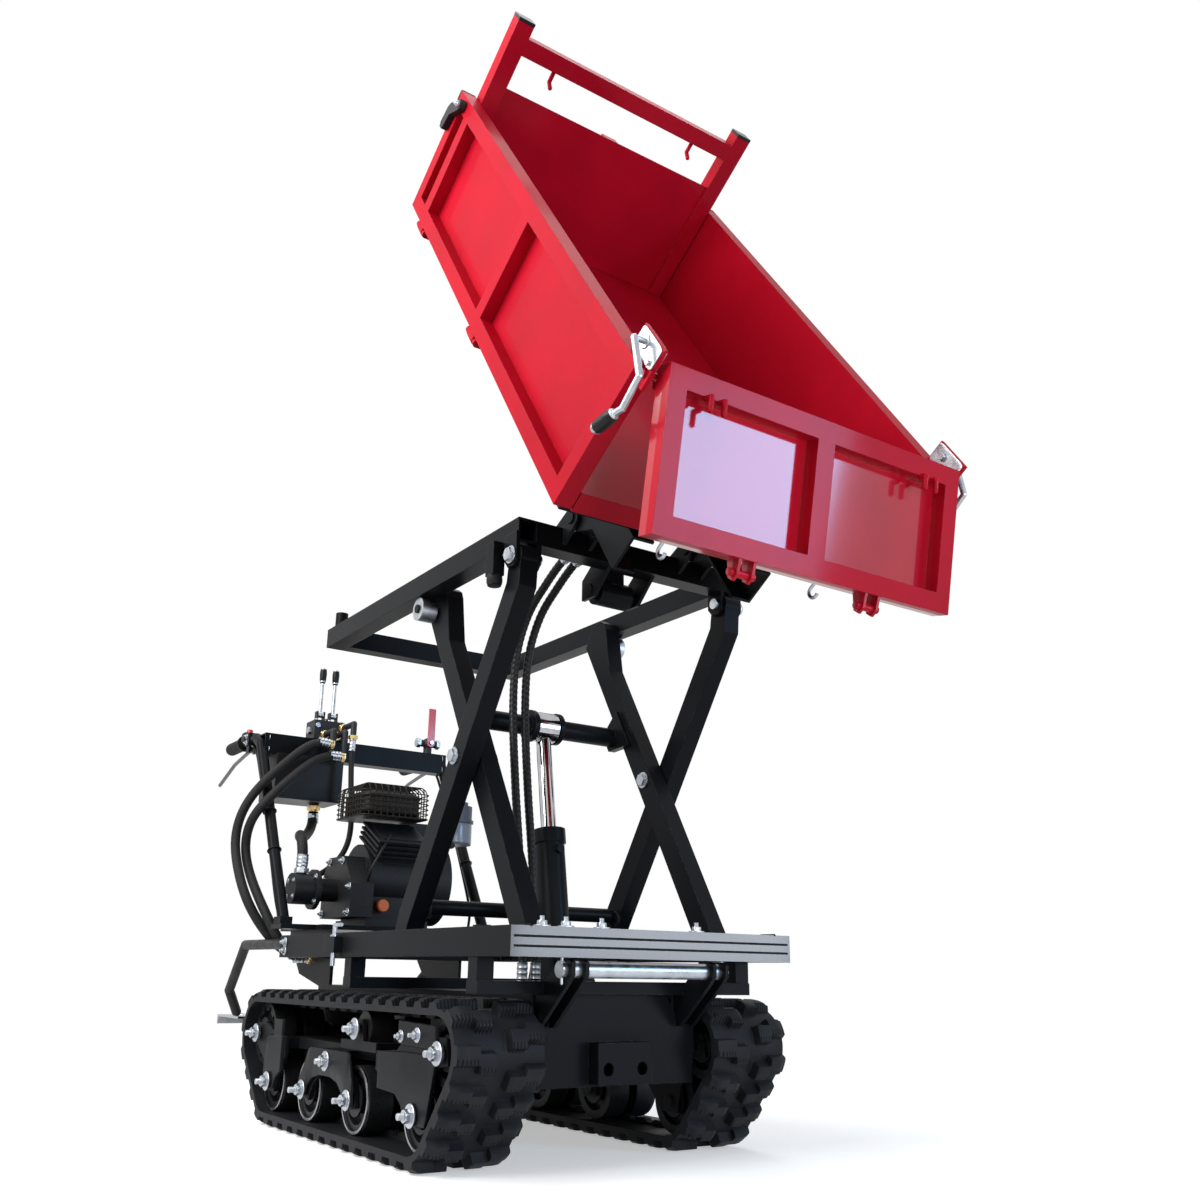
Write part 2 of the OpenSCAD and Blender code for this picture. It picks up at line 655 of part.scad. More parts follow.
module box_floor() color("#a3121f") boxed() {
  difference() {
    block([box_rear, box_front], [-floor_half, floor_half], [box_z, box_z + 40]);
    for (x = [[box_rear + 40, rib_x[0] - 20], [rib_x[0] + 20, box_front - 40]])
      block(x, [-floor_half + 40, floor_half - 40], [box_z - 1, box_z + 36]);
  }
  both() for (x = rib_x) {
    for (d = [[-32, -20.5], [20.5, 32]]) {
      block([x + d[0], x + d[1]], [floor_half - 60, hinge_y], [hinge_z - 8, hinge_z + 8]);
      block([x + d[0], x + d[1]], [floor_half - 60, floor_half - 1], [hinge_z - 8, box_z + 2]);
      xrod(hinge_y, hinge_z, 8, [x + d[0], x + d[1]]);
    }
    xrod(hinge_y, hinge_z, 5, [x - 34, x + 34]);
  }
}

module headboard() color("#a3121f") boxed() {
  z0 = box_z + 40.3;
  both() block([box_rear + 1, box_rear + 41], [floor_half - 41, floor_half - 1], [z0, box_z + 490]);
  block([box_rear + 30, box_rear + 34], [-floor_half + 40, floor_half - 40], [z0, box_z + 346]);
  block([box_rear + 8, box_rear + 30], [-floor_half + 40, floor_half - 40], [z0, z0 + 30]);
  block([box_rear + 8, box_rear + 30], [-20, 20], [z0, box_z + 346]);
  block([box_rear + 1, box_rear + 41], [-floor_half + 40, floor_half - 40], [box_z + 424, box_z + 462]);
  both() rod([[box_rear + 21, 205, box_z + 426], [box_rear + 21, 205, box_z + 398],
    [box_rear + 40, 205, box_z + 390]], 5);
}

module side_board() {
  y = [box_half - board_t, box_half];
  x = [box_rear + 1, box_front - 1];
  z = [box_z + 3, board_top];
  difference() {
    block(x, y, z);
    for (c = [[x[0] + 36, rib_x[1] - 18], [rib_x[1] + 18, rib_x[0] - 18], [rib_x[0] + 18, x[1] - 36]])
      block(c, [y[0] + 7, y[1] + 1], [z[0] + 36, z[1] - 36]);
  }
  for (r = rib_x) difference() {
    union() {
      block([r - 19.5, r + 19.5], [hinge_y - 8, hinge_y + 8], [hinge_z, z[0] + 1]);
      xrod(hinge_y, hinge_z, 9, [r - 19.5, r + 19.5]);
    }
    xrod(hinge_y, hinge_z, 5 + run, [r - 30, r + 30]);
  }
  // plate that carries the gate pin and the front latch
  difference() {
    block([box_front - 62, box_front + 26], [box_half - 22, box_half - 15], [board_top - 32, board_top + 44]);
    yrod(gate_pin, 8, [box_half - 30, box_half]);
    yrod([box_front - 30, board_top + 26], 5 + run, [box_half - 30, box_half]);
  }
  // stud of the rear latch
  yrod([box_rear + 60, board_top - 18], 6, [box_half - 2, box_half + 18]);
}

module side_board_left() color("#a3121f") boxed() side_board();
module side_board_right() color("#a3121f") boxed() mirror([0, 1, 0]) side_board();

module tail_gate() color("#a3121f") gated() {
  z = [14 - gate_h, 14];
  w = gate_half;
  difference() {
    block([10, 46], [-w, w], z);
    for (y = [[-w + 36, -20], [20, w - 36]]) block([17, 47], y, [z[0] + 36, z[1] - 36]);
  }
  both() block([-14, 12], [w - 28, w - 10], [-15, 14]);
  both() yrod([0, 0], 7, [w - 20, box_half - 10]);
  // hinge brackets under the lower edge, for use with the gate let down
  both() for (y = [[128, 134], [160, 166]])
    plate([[12, z[0] + 4], [44, z[0] + 4], [40, z[0] - 26], [30, z[0] - 36], [18, z[0] - 30]], y);
  both() yrod([29, z[0] - 22], 7, [120, 174]);
  both() for (y = [-14, 14]) rod([[44, 255 + y, -24], [58, 255 + y, -24], [58, 255 + y, -46]], 5);
}

module front_latch() {
  y = box_half + 10;
  a = [box_front - 30, board_top + 26];
  yrod(a, 5, [box_half - 24, y]);
  rod([[a.x, y, a.y], [a.x + 70, y, a.y - 30], [a.x + 76, y, a.y - 88], [a.x + 60, y, a.y - 112]], 6);
  rod([[a.x + 60, y, a.y - 112], [a.x + 40, y, a.y - 150]], 11);
}

module front_latch_left() color("#c4c7cb") boxed() front_latch();
module front_latch_right() color("#c4c7cb") boxed() mirror([0, 1, 0]) front_latch();

module rear_latch() {
  a = [box_rear + 60, board_top - 18];
  y = [box_half + 2, box_half + 16];
  outline = [[13, -4], [10, 8], [0, 13], [-50, -16], [-58, -28], [-64, -66], [-58, -76], [-44, -76],
    [-38, -66], [-33, -38], [4, -13]];
  difference() {
    plate([for (p = outline) a + p], y);
    yrod(a, 6 + run, [y[0] - 1, y[1] + 1]);
  }
}

module rear_latch_left() color("#111214") boxed() rear_latch();
module rear_latch_right() color("#111214") boxed() mirror([0, 1, 0]) rear_latch();

// Handle nodes

grip_z = handle_height + 24;
grip_end = beam_x - grip_reach;

module handlebar() color("#17191d") {
  both() {
    rod([[-508, bar_y, 467], [-618, bar_y, 640], [beam_x - 5, bar_y, handle_height], [-862, bar_y, grip_z],
      [grip_end, bar_y, grip_z]], bar_r);
    block([-532, -484], [bar_y - 16, bar_y + 16], [452.3, 470]);
    // gusset between beam and tube
    plate([[beam_x + 25, beam_z[0] + 6], [beam_x + 25, beam_z[1] - 4], [beam_x - 60, grip_z + 8],
      [beam_x - 92, grip_z + 8], [beam_x - 92, grip_z - 12], [beam_x - 40, beam_z[0] + 4]],
      [bar_y - 19, bar_y - 13]);
    // clamp and ears of the clutch lever
    block([-912, -882], [bar_y - 18, bar_y + 18], [grip_z - 18, grip_z + 18]);
    for (y = [[-13, -7], [7, 13]])
      block([-912, -888], [bar_y + y[0], bar_y + y[1]], [grip_z - 40, grip_z - 16]);
    yrod([-900, grip_z - 30], 4, [bar_y - 13, bar_y + 13]);
  }
  difference() {
    block([beam_x - 25, beam_x + 25], [-bar_y, bar_y], beam_z);
    block([beam_x - 21, beam_x + 21], [-bar_y - 1, bar_y + 1], [beam_z[0] + 4, beam_z[1] - 4]);
  }
}

module grips() color("#0d0d0e") both() difference() {
  union() {
    xrod(bar_y, grip_z, 19, [grip_end - 18, grip_end + 118]);
    xrod(bar_y, grip_z, 25, [grip_end + 110, grip_end + 118]);
  }
  xrod(bar_y, grip_z, bar_r + 0.1, [grip_end - 15.2, grip_end + 130]);
}

module clutch_lever() {
  a = [-900, grip_z - 30];
  difference() {
    union() {
      yrod(a, 9, [bar_y - 6.5, bar_y + 6.5]);
      rod([[a.x - 6, bar_y, a.y], [a.x - 60, bar_y, a.y - 8], [a.x - 150, bar_y, a.y - 24],
        [a.x - 279, bar_y, a.y - 70]], 5.5);
    }
    yrod(a, 4 + run, [bar_y - 9, bar_y + 9]);
  }
}

module clutch_lever_left() color("#2b2c2f") clutch_lever();
module clutch_lever_right() color("#2b2c2f") mirror([0, 1, 0]) clutch_lever();

valve_y = [-124, -84];
valve_z = beam_z[1] + 78;
port_y = [-84, -120, -64];
pair_z = [beam_z[0], beam_z[0] + 33];

module valve_block() color("#3a3b3d") {
  block([beam_x - 34, beam_x + 34], [-150, -58], [beam_z[1] + 0.3, beam_z[1] + 56]);
  for (y = valve_y) {
    for (d = [[-13, -8.5], [8.5, 13]])
      block([beam_x - 9, beam_x + 9], [y + d[0], y + d[1]], [beam_z[1] + 55, valve_z + 9]);
    yrod([beam_x, valve_z], 4, [y - 13, y + 13]);
  }
  // elbows out of the front: two turn towards the near side, one points down
  for (i = [0, 1]) rod([[beam_x + 30, port_y[i], beam_z[1] + 12], [beam_x + 110, port_y[i], beam_z[1] + 12],
    [beam_x + 110, port_y[i], pair_z[i]], [beam_x + 110, port_y[i] - 2, pair_z[i]]], 9);
  rod([[beam_x + 30, port_y[2], beam_z[1] + 38], [beam_x + 122, port_y[2], beam_z[1] + 38],
    [beam_x + 122, port_y[2], beam_z[1] - 2]], 9);
  // stop valve on its own fitting
  zrod(beam_x, 236, 13, [beam_z[1] + 0.3, beam_z[1] + 20]);
  translate([beam_x, 236, beam_z[1] + 34]) sphere(r = 18);
  xrod(236, beam_z[1] + 34, 6, [beam_x + 10, beam_x + 27]);
  yrod([beam_x, beam_z[1] + 34], 11, [200, 272]);
}

module valve_lever(y) difference() {
  union() {
    yrod([beam_x, valve_z], 9, [y - 8, y + 8]);
    zrod(beam_x, y, 5, [valve_z, valve_z + 130]);
    zrod(beam_x, y, 9, [valve_z + 100, valve_z + 142]);
  }
  yrod([beam_x, valve_z], 4 + run, [y - 9, y + 9]);
}

module valve_lever_lift() color("#c4c7cb") valve_lever(valve_y[0]);
module valve_lever_tip() color("#c4c7cb") valve_lever(valve_y[1]);

module ball_valve_lever() color("#c01822") difference() {
  union() {
    xrod(236, beam_z[1] + 34, 13, [beam_x + 19, beam_x + 25]);
    block([beam_x + 19, beam_x + 25], [225, 247], [beam_z[1] + 34, beam_z[1] + 142]);
  }
  xrod(236, beam_z[1] + 34, 6 + run, [beam_x + 10, beam_x + 40]);
}

module oil_tank() color("#131416") {
  block([beam_x - 70, beam_x + 60], [-262, -62], [beam_z[0] - 128, beam_z[0] - 0.4]);
  zrod(beam_x - 49, -210, 20, [beam_z[0] - 1, beam_z[0] + 22]);
  zrod(beam_x, -120, 14, [beam_z[0] - 150, beam_z[0] - 120]);
}

// Engine nodes

module engine() color("#242528") {
  block([-650, -450], [-90, 90], [452.4, 470]);
  block([-630, -475], [-84, 84], [468, 620]);
  yrod([-552, 580], 92, [-80, 100]);
  yrod([-552, 580], 118, [92, 150]);
  yrod([-552, 580], 70, [140, 172]);
  // cooling fins of the leaning cylinder
  translate([-552, 0, 580]) rotate([0, 28, 0]) {
    translate([-55, -60, 60]) cube([110, 120, 84]);
    for (z = [92 : 14 : 134]) translate([-68, -74, z]) cube([136, 148, 6]);
  }
  // belt cover towards the near side
  plate([[-642, 474], [-440, 474], [-440, 560], [-500, 634], [-604, 634], [-642, 580]], [-140, -76]);
  yrod([-552, 545], 30, [-190, -130]);
  // oil filler and carburettor
  xrod(-50, 510, 13, [-664, -620]);
  block([-600, -540], [60, 128], [690, 741.7]);
}

module muffler_guard() color("#3b3937") {
  x = [-640, -450];
  y = [-120, 80];
  z = [742, 832];
  block([x[0] + 20, x[1] - 20], [y[0] + 18, y[1] - 18], [z[0], z[1] - 16]);
  for (k = [0 : 8]) {
    c = x[0] + (x[1] - x[0] - 5) * k / 8;
    block([c, c + 5], y, [z[1] - 5, z[1]]);
    for (s = y) block([c, c + 5], [s - 2.5, s + 2.5], [z[0], z[1]]);
  }
  for (k = [0 : 4]) {
    c = z[0] + (z[1] - z[0] - 5) * k / 4;
    for (s = y) block(x, [s - 2.5, s + 2.5], [c, c + 5]);
    for (s = x) block([s - 2.5, s + 2.5], y, [c, c + 5]);
  }
  for (k = [0 : 8]) {
    c = y[0] + (y[1] - y[0] - 5) * k / 8;
    block(x, [c, c + 5], [z[1] - 5, z[1]]);
    for (s = x) block([s - 2.5, s + 2.5], [c, c + 5], [z[0], z[1]]);
  }
  block([x[0] + 30, x[0] + 60], [y[0] - 1, y[1] + 1], [z[0] + 2, z[0] + 6]);
}

module air_filter() color("#8b8e92") {
  zrod(-548, 205, 52, [690, 800]);
  zrod(-548, 205, 57, [752, 760]);
  zrod(-548, 205, 40, [800, 812]);
  yrod([-570, 720], 16, [128.4, 190]);
}

module hydraulic_pump() color("#55585c") {
  yrod([-552, 545], 40, [-262, -190.4]);
  yrod([-552, 545], 52, [-206, -194]);
  zrod(-552, -236, 14, [540, 604]);
  xrod(-236, 545, 14, [-612, -560]);
}

// place beside the upper handlebar tube: how far before it, y, and how far up it
function beside(dx, y, f) = [-618 + f * (beam_x + 613) + dx, y, 640 + f * (handle_height - 640)];

module hoses() color("#0f0f10") {
  // inner and outer hose of the pair: from the valve, round the handlebar tube, to the near leg
  hose([[beam_x + 110, port_y[0] - 11.4, pair_z[0]], [beam_x + 110, port_y[0] - 38, pair_z[0] - 2],
    beside(95, -165, 0.846), beside(77, -228, 0.683), beside(46, -304, 0.446), beside(-8, -338, 0.314),
    beside(-78, -337, 0.154), beside(-112, -330, 0), [-690, -324, 585], [-630, -320, 525], [-592, -296, 468],
    [-578, -268, 412], [pair_end[0].x, -242, 376], [pair_end[0].x, -222, pair_end[0].y],
    [pair_end[0].x, -199.8, pair_end[0].y]],
    12.5, ref = [1, 0.1, 0.1]);
  hose([[beam_x + 110, port_y[1] - 11.4, pair_z[1]], [beam_x + 110, port_y[1] - 38, pair_z[1] - 2],
    beside(106, -206, 0.917), beside(72, -266, 0.738), beside(4, -335, 0.51), beside(-62, -361, 0.292),
    beside(-101, -361, 0.105), [-707, -356, 612], [-652, -354, 553], [-626, -346, 505], [-622, -318, 462],
    [-612, -274, 412], [pair_end[1].x, -244, 384], [pair_end[1].x, -222, pair_end[1].y],
    [pair_end[1].x, -199.8, pair_end[1].y]],
    12.5, ref = [1, 0.1, 0.1]);
  // suction hose from the tank to the pump
  hose([[beam_x, -120, beam_z[0] - 154], [beam_x, -120, beam_z[0] - 186],
    [beam_x + 50, -152, beam_z[0] - 222], [beam_x + 110, -190, 692], [-612, -226, 692], [-562, -236, 668],
    [-552, -236, 642], [-552, -236, 604.4]], 14);
  // pressure hose from the valve to the pump
  hose([[beam_x + 122, port_y[2], beam_z[1] - 11.5], [beam_x + 122, port_y[2], beam_z[0] + 20],
    beside(59, -62, 0.615), beside(7, -62, 0.26), [-658, -72, 668], [-658, -112, 616], [-670, -178, 572],
    [-662, -226, 550], [-640, -236, 545], [-612.4, -236, 545]], 8, ref = [1, -1, 0.3]);
  // pair from the chassis up between the arms to the upper frame
  for (y = lift_hose_y) hose([for (p = [[mid.x + 42, 331.2], [mid.x + 42, 384], [mid.x + 20, mid.y - 212],
    [mid.x - 10, mid.y - 42], [mid.x - 30, mid.y + 118], [mid.x - 24, top.y - 129], [mid.x + 20, top.y - 45],
    [mid.x + 92, top.y + 8], [deck_x[1] - 80, deck_z[0] + 14], [deck_x[1] - 45.4, deck_z[0] + 18]])
    [p.x, y, p.y]], 9);
  // control cables from the clutch levers down the handlebar to the chassis
  both() hose([[-887.7, bar_y, grip_z - 30], [-868, bar_y, grip_z - 31], [beam_x - 28, bar_y, beam_z[0] - 5],
    [beam_x + 10, bar_y, beam_z[0] - 59], beside(-31, bar_y, 0.385), beside(-33, bar_y, -0.046),
    [-585, bar_y - 2, 520], [-566, bar_y - 12, 468], [-551, bar_y - 24, 446]], 4, 4, 8);
}

module rear_step() color("#26282b") {
  both() rod([[base_x[0] - 13.3, 300, 402], [-752, 300, 402], [-918, 280, 282], [-930, 250, 224]], 13);
  difference() {
    block([-1092, -905], [-252, 252], [206, 212]);
    for (x = [-1060 : 40 : -940], y = [-200 : 50 : 200]) zrod(x, y, 9, [200, 220]);
  }
  block([-1092, -1086], [-252, 252], [186, 212]);
}

chassis_frame();
track_frame_left();
track_frame_right();
track_belt_left();
track_belt_right();
drive_sprocket_left();
drive_sprocket_right();
front_idler_left();
front_idler_right();
bogie_left();
bogie_right();
bogie_roller_left_front();
bogie_roller_left_rear();
bogie_roller_right_front();
bogie_roller_right_rear();
front_roller_left();
front_roller_right();
rear_roller_left();
rear_roller_right();
carrier_rollers();
gearbox();
undercarriage_bolts();
base_frame();
pivot_tube();
lock_pin();
inner_arms();
outer_arms();
lower_slide_rollers();
upper_slide_rollers();
scissor_pins();
upper_frame();
lift_barrel();
lift_rod();
tip_barrel();
tip_rod();
box_subframe();
box_floor();
headboard();
side_board_left();
side_board_right();
tail_gate();
front_latch_left();
front_latch_right();
rear_latch_left();
rear_latch_right();
handlebar();
grips();
clutch_lever_left();
clutch_lever_right();
valve_block();
valve_lever_lift();
valve_lever_tip();
ball_valve_lever();
oil_tank();
engine();
muffler_guard();
air_filter();
hydraulic_pump();
hoses();
rear_step();
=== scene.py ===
# %% [markdown]
# # A tracked power carrier
# The machine is a walk-behind carrier: rubber tracks, a scissor lift, a tipping box and an engine behind
# it. Its solid parts come from the CAD frame and stay where they are. This lesson gives each of them a
# finish, and adds the fine pieces that make the machine look real: lugs, hoses, grips, bolts, welds and
# fittings.

# %% Load the frame
import json
from math import cos, pi, radians, sin

import bpy
import numpy as np
from mathutils import Matrix, Vector


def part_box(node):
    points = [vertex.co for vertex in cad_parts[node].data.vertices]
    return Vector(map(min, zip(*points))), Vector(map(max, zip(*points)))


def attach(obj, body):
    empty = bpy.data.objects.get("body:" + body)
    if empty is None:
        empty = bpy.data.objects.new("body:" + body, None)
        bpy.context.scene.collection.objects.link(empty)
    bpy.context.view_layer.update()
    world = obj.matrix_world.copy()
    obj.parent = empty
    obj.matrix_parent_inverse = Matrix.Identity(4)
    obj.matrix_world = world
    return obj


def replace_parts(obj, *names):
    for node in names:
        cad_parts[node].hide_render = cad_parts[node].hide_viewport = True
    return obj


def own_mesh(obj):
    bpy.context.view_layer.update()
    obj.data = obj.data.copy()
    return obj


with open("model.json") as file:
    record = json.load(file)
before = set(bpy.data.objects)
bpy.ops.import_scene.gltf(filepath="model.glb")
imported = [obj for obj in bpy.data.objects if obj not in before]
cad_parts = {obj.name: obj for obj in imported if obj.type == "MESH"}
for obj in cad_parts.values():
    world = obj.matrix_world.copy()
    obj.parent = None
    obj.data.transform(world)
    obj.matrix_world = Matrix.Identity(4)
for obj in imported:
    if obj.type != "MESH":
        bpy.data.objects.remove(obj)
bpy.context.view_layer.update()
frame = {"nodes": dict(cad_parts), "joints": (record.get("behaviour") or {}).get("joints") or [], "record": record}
nodes = frame["nodes"]
scene = bpy.context.scene
SIDES = (("left", 1), ("right", -1))
joint_at = {j["name"]: np.array(j["pos_m"]) for j in frame["joints"] if "pos_m" in j}

# %% [markdown]
# ## The camera
# The photograph was taken from low down in front of the right-hand track, with the lens turned up at the
# box. The focal length and the picture's true centre are known in pixels of a 1200 pixel frame, so they
# turn into a lens in millimetres and a small shift. The camera's own axes are built from its yaw, pitch and
# roll.

# %% Place the camera
IMAGE_PX = 1200
FOCAL_PX = 1151.0
CENTRE_PX = (596.2, 638.7)
CAMERA_AT = Vector((2.4436, -1.3469, 0.3439))
YAW, PITCH, ROLL = radians(34.30), radians(16.19), radians(0.91)

ahead = Vector((-cos(YAW) * cos(PITCH), sin(YAW) * cos(PITCH), sin(PITCH)))
level = ahead.cross(Vector((0, 0, 1))).normalized()
above = level.cross(ahead)
across = cos(ROLL) * level + sin(ROLL) * above
upward = cos(ROLL) * above - sin(ROLL) * level

lens = bpy.data.cameras.new("photo_camera")
lens.sensor_width = 36.0
lens.lens = lens.sensor_width * FOCAL_PX / IMAGE_PX
lens.shift_x = (IMAGE_PX / 2 - CENTRE_PX[0]) / IMAGE_PX
lens.shift_y = (CENTRE_PX[1] - IMAGE_PX / 2) / IMAGE_PX
camera = bpy.data.objects.new("photo_camera", lens)
camera.matrix_world = Matrix.Translation(CAMERA_AT) @ Matrix((across, upward, -ahead)).transposed().to_4x4()
scene.collection.objects.link(camera)
scene.camera = camera
print("lens", round(lens.lens, 2), "mm, shift", round(lens.shift_x, 4), round(lens.shift_y, 4))

# %% [markdown]
# ## Finishes as expressions
# A finish is a small program: noise in, colour and roughness out. A class that wraps a socket lets that
# program read as ordinary arithmetic, and every other node comes from one method. Only the sockets that an
# export can bake are ever fed by a pattern: colour, roughness, metal, coat weight and the normal.

# %% A socket that can be used in sums
class Field:
    """A shader value. Arithmetic on it adds Math nodes to its finish."""

    def __init__(self, finish, socket):
        self.finish, self.socket = finish, socket

    def math(self, how, a, b):
        return self.finish.node("ShaderNodeMath", {"operation": how}, {0: a, 1: b})

    def __add__(self, other):
        return self.math("ADD", self, other)

    def __sub__(self, other):
        return self.math("SUBTRACT", self, other)

    def __rsub__(self, other):
        return self.math("SUBTRACT", other, self)

    def __mul__(self, other):
        return self.math("MULTIPLY", self, other)

    def apply(self, how):
        """A Math node with one input, such as SINE or FRACT."""
        return self.finish.node("ShaderNodeMath", {"operation": how}, {0: self})

    def over(self, low, high):
        """Climbs from 0 at low to 1 at high, and stays there."""
        return self.finish.node("ShaderNodeMapRange", {"interpolation_type": "SMOOTHSTEP"},
                                {"Value": self, "From Min": low, "From Max": high})

    __radd__, __rmul__ = __add__, __mul__


class Finish:
    """A material with one Principled shader. Constants go on its sockets, patterns are fed to them."""

    def __init__(self, name, colour, rough, **constants):
        self.material = bpy.data.materials.new(name)
        self.material.use_nodes = True
        self.tree = self.material.node_tree
        self.shader = self.tree.nodes["Principled BSDF"]
        self.colour = (*colour, 1.0)
        self.feed({"Base Color": self.colour, "Roughness": rough})
        self.feed({key.replace("_", " ").title().replace("Ior", "IOR"): v for key, v in constants.items()})
        self.material.diffuse_color = self.colour

    def node(self, kind, settings=None, inputs=None, out=0):
        """Any node: its settings first, then the values or links of its sockets."""
        made = self.tree.nodes.new(kind)
        for key, value in (settings or {}).items():
            setattr(made, key, value)
        for key, value in (inputs or {}).items():
            self.plug(made.inputs[key], value)
        return Field(self, made.outputs[out])

    def plug(self, socket, value):
        if isinstance(value, Field):
            self.tree.links.new(value.socket, socket)
        else:
            socket.default_value = value

    def feed(self, inputs):
        for key, value in inputs.items():
            self.plug(self.shader.inputs[key], value)

    def place(self):
        return self.node("ShaderNodeTexCoord", out="Object")

    def noise(self, per_metre, detail=3.0):
        return self.node("ShaderNodeTexNoise", {},
                         {"Vector": self.place(), "Scale": per_metre, "Detail": detail})

    def sleeve_uv(self):
        """The two coordinates of a piece's own UV map."""
        along = self.node("ShaderNodeSeparateXYZ", {},
                          {0: self.node("ShaderNodeUVMap", {"uv_map": "sleeve"})})
        return along, Field(self, along.socket.node.outputs["Y"])

    def mix(self, amount, first, second):
        """Colour between two colours."""
        return self.node("ShaderNodeMix", {"data_type": "RGBA"}, {"Factor": amount, 6: first, 7: second},
                         out=2)

    def facing_up(self):
        """1 on surfaces that look at the sky, 0 on walls and undersides."""
        normal = self.node("ShaderNodeNewGeometry", out="Normal")
        return self.node("ShaderNodeSeparateXYZ", {}, {0: normal}, out="Z").over(0.55, 0.95)

    def round_edges(self, radius):
        return self.node("ShaderNodeBevel", {"samples": 4}, {"Radius": radius})

    def bump(self, height, strength, depth, under=None):
        inputs = {"Height": height, "Strength": strength, "Distance": depth}
        if under:
            inputs["Normal"] = under
        self.feed({"Normal": self.node("ShaderNodeBump", {}, inputs)})


def tint(colour, times=1.0, plus=0.0):
    """A colour scaled and raised, with full alpha."""
    return tuple(times * c + plus for c in colour[:3]) + (1.0,)


def toward(colour, other, share):
    """A colour moved by a share of the way to another one, with full alpha."""
    return tuple((1 - share) * c + share * o for c, o in zip(colour, other)) + (1.0,)


finishes = {}
print("finish classes ready")

# %% [markdown]
# ## Powder coat, black and red
# Powder coat is sprayed on dry and melted in an oven. It pulls into a faint orange peel a few millimetres
# across, rounds every edge, and gathers dust on top. A bevel node rounds the edges in the normal alone,
# which suits CAD meshes that may not be changed. The red coat has a clear gloss over it, so it gets a coat
# layer as well.

# %% Mix the coats
RED, FRAME_BLACK, BARE_STEEL = (0.420, 0.0040, 0.0170), (0.0075, 0.0080, 0.0095), (0.46, 0.47, 0.49)
# The second of these colours is the colour of the edges: partly worn paint, partly a painted highlight.
DUST, RUBBED_AND_HIGHLIT = (0.20, 0.19, 0.18), (0.24, 0.23, 0.23)


def powder_coat(name, colour, rough, dust, **constants):
    """Orange peel of 3 mm cells over rounded edges, cloudy gloss, dust where noise meets an upward face,
    and paler, glossier edges where the rounded normal turns away from the flat one: partly rubbed wear,
    partly a painted highlight."""
    f = Finish(name, colour, rough, **constants)
    cloud = f.noise(5.0, 4.0)
    speck = f.noise(60.0, 5.0)
    settled = f.facing_up() * speck.over(0.35, 0.75) * dust
    shade = f.mix(cloud.over(0.3, 0.7), tint(colour, 0.9), tint(colour, 1.1))
    rounded = f.round_edges(0.002)
    facing = f.node("ShaderNodeNewGeometry", out="Normal")
    along = f.node("ShaderNodeVectorMath", {"operation": "DOT_PRODUCT"}, {0: rounded, 1: facing},
                   out="Value")
    # Paler, glossier edges: partly rubbed wear, partly a painted highlight.
    rubbed_and_highlit = (1.0 - along).over(0.02, 0.16) * speck.over(0.42, 0.62)
    dusty = f.mix(settled, shade, toward(colour, DUST, 0.18))
    f.feed({"Base Color": f.mix(rubbed_and_highlit, dusty, toward(colour, RUBBED_AND_HIGHLIT, 0.2)),
            "Roughness": rough + cloud.over(0.3, 0.8) * 0.07 + settled * 0.25 - rubbed_and_highlit * 0.08})
    f.bump(f.noise(330.0, 1.0), 0.10, 0.0004, rounded)
    finishes[name] = f
    return f


powder_coat("black_paint", (0.0060, 0.0066, 0.0080), 0.30, 0.35, specular_ior_level=0.06)
powder_coat("frame_paint", FRAME_BLACK, 0.40, 0.5, specular_ior_level=0.06)
powder_coat("red_paint", RED, 0.44, 0.12, specular_ior_level=0.03, coat_weight=0.08,
            coat_roughness=0.10)
powder_coat("red_lever", (0.520, 0.0080, 0.0120), 0.32, 0.0, coat_weight=0.4, coat_roughness=0.1)

# %% [markdown]
# ## Two coats on one solid
# The lower frame is one welding, but its rolled front beam has a bright gloss that the rails lack. The step
# has a bare treadplate between black tubes. The gate's two panels shine more than the tubes round them. A
# mask on the object's own coordinates tells the two apart on one mesh.

# %% Coats with a mask by place
GATE_LEAN = radians(10.5)
OUT_OF_GATE = (cos(GATE_LEAN), 0.0, -sin(GATE_LEAN))
PANEL_OUT, TUBE_OUT = 0.026, 0.030
BEAM_FACE, TREAD_FRONT, TREAD_TOP = 0.6990, -0.9056, 0.2124


def axis_of(f, letter):
    """One coordinate of the object's own space."""
    return f.node("ShaderNodeSeparateXYZ", {}, {0: f.place()}, out=letter)


gate = powder_coat("gate_gloss", RED, 0.36, 0.12, specular_ior_level=0.04, coat_roughness=0.09)
proud = gate.node("ShaderNodeVectorMath", {"operation": "DOT_PRODUCT"}, {0: gate.place(), 1: OUT_OF_GATE},
                  out="Value")
gate_plane = float(np.dot(joint_at["gate"], OUT_OF_GATE))
gate.feed({"Coat Weight": 0.14 + 0.84 * (1.0 - proud.over(gate_plane + PANEL_OUT, gate_plane + TUBE_OUT))})

beam = powder_coat("beam_coat", FRAME_BLACK, 0.40, 0.5, specular_ior_level=0.06, coat_roughness=0.10)
face = axis_of(beam, "X").over(BEAM_FACE, BEAM_FACE + 0.0005)
drawn = beam.noise(4.0, 2.0)
beam.feed({"Coat Weight": face * (0.82 + drawn * 0.3)})

step_coat = powder_coat("step_coat", (0.0110, 0.0115, 0.0130), 0.40, 0.6, specular_ior_level=0.2)
behind = 1.0 - axis_of(step_coat, "X").over(TREAD_FRONT, TREAD_FRONT + 0.0006)
bare = behind * (1.0 - axis_of(step_coat, "Z").over(TREAD_TOP, TREAD_TOP + 0.0006))
scuffs = step_coat.noise(38.0, 6.0)
step_coat.feed({"Base Color": step_coat.mix(bare, step_coat.colour, tint(BARE_STEEL)),
                "Metallic": bare * 0.9,
                "Roughness": 0.40 + scuffs.over(0.3, 0.7) * 0.14 - bare * 0.06})
print("masked coats ready")

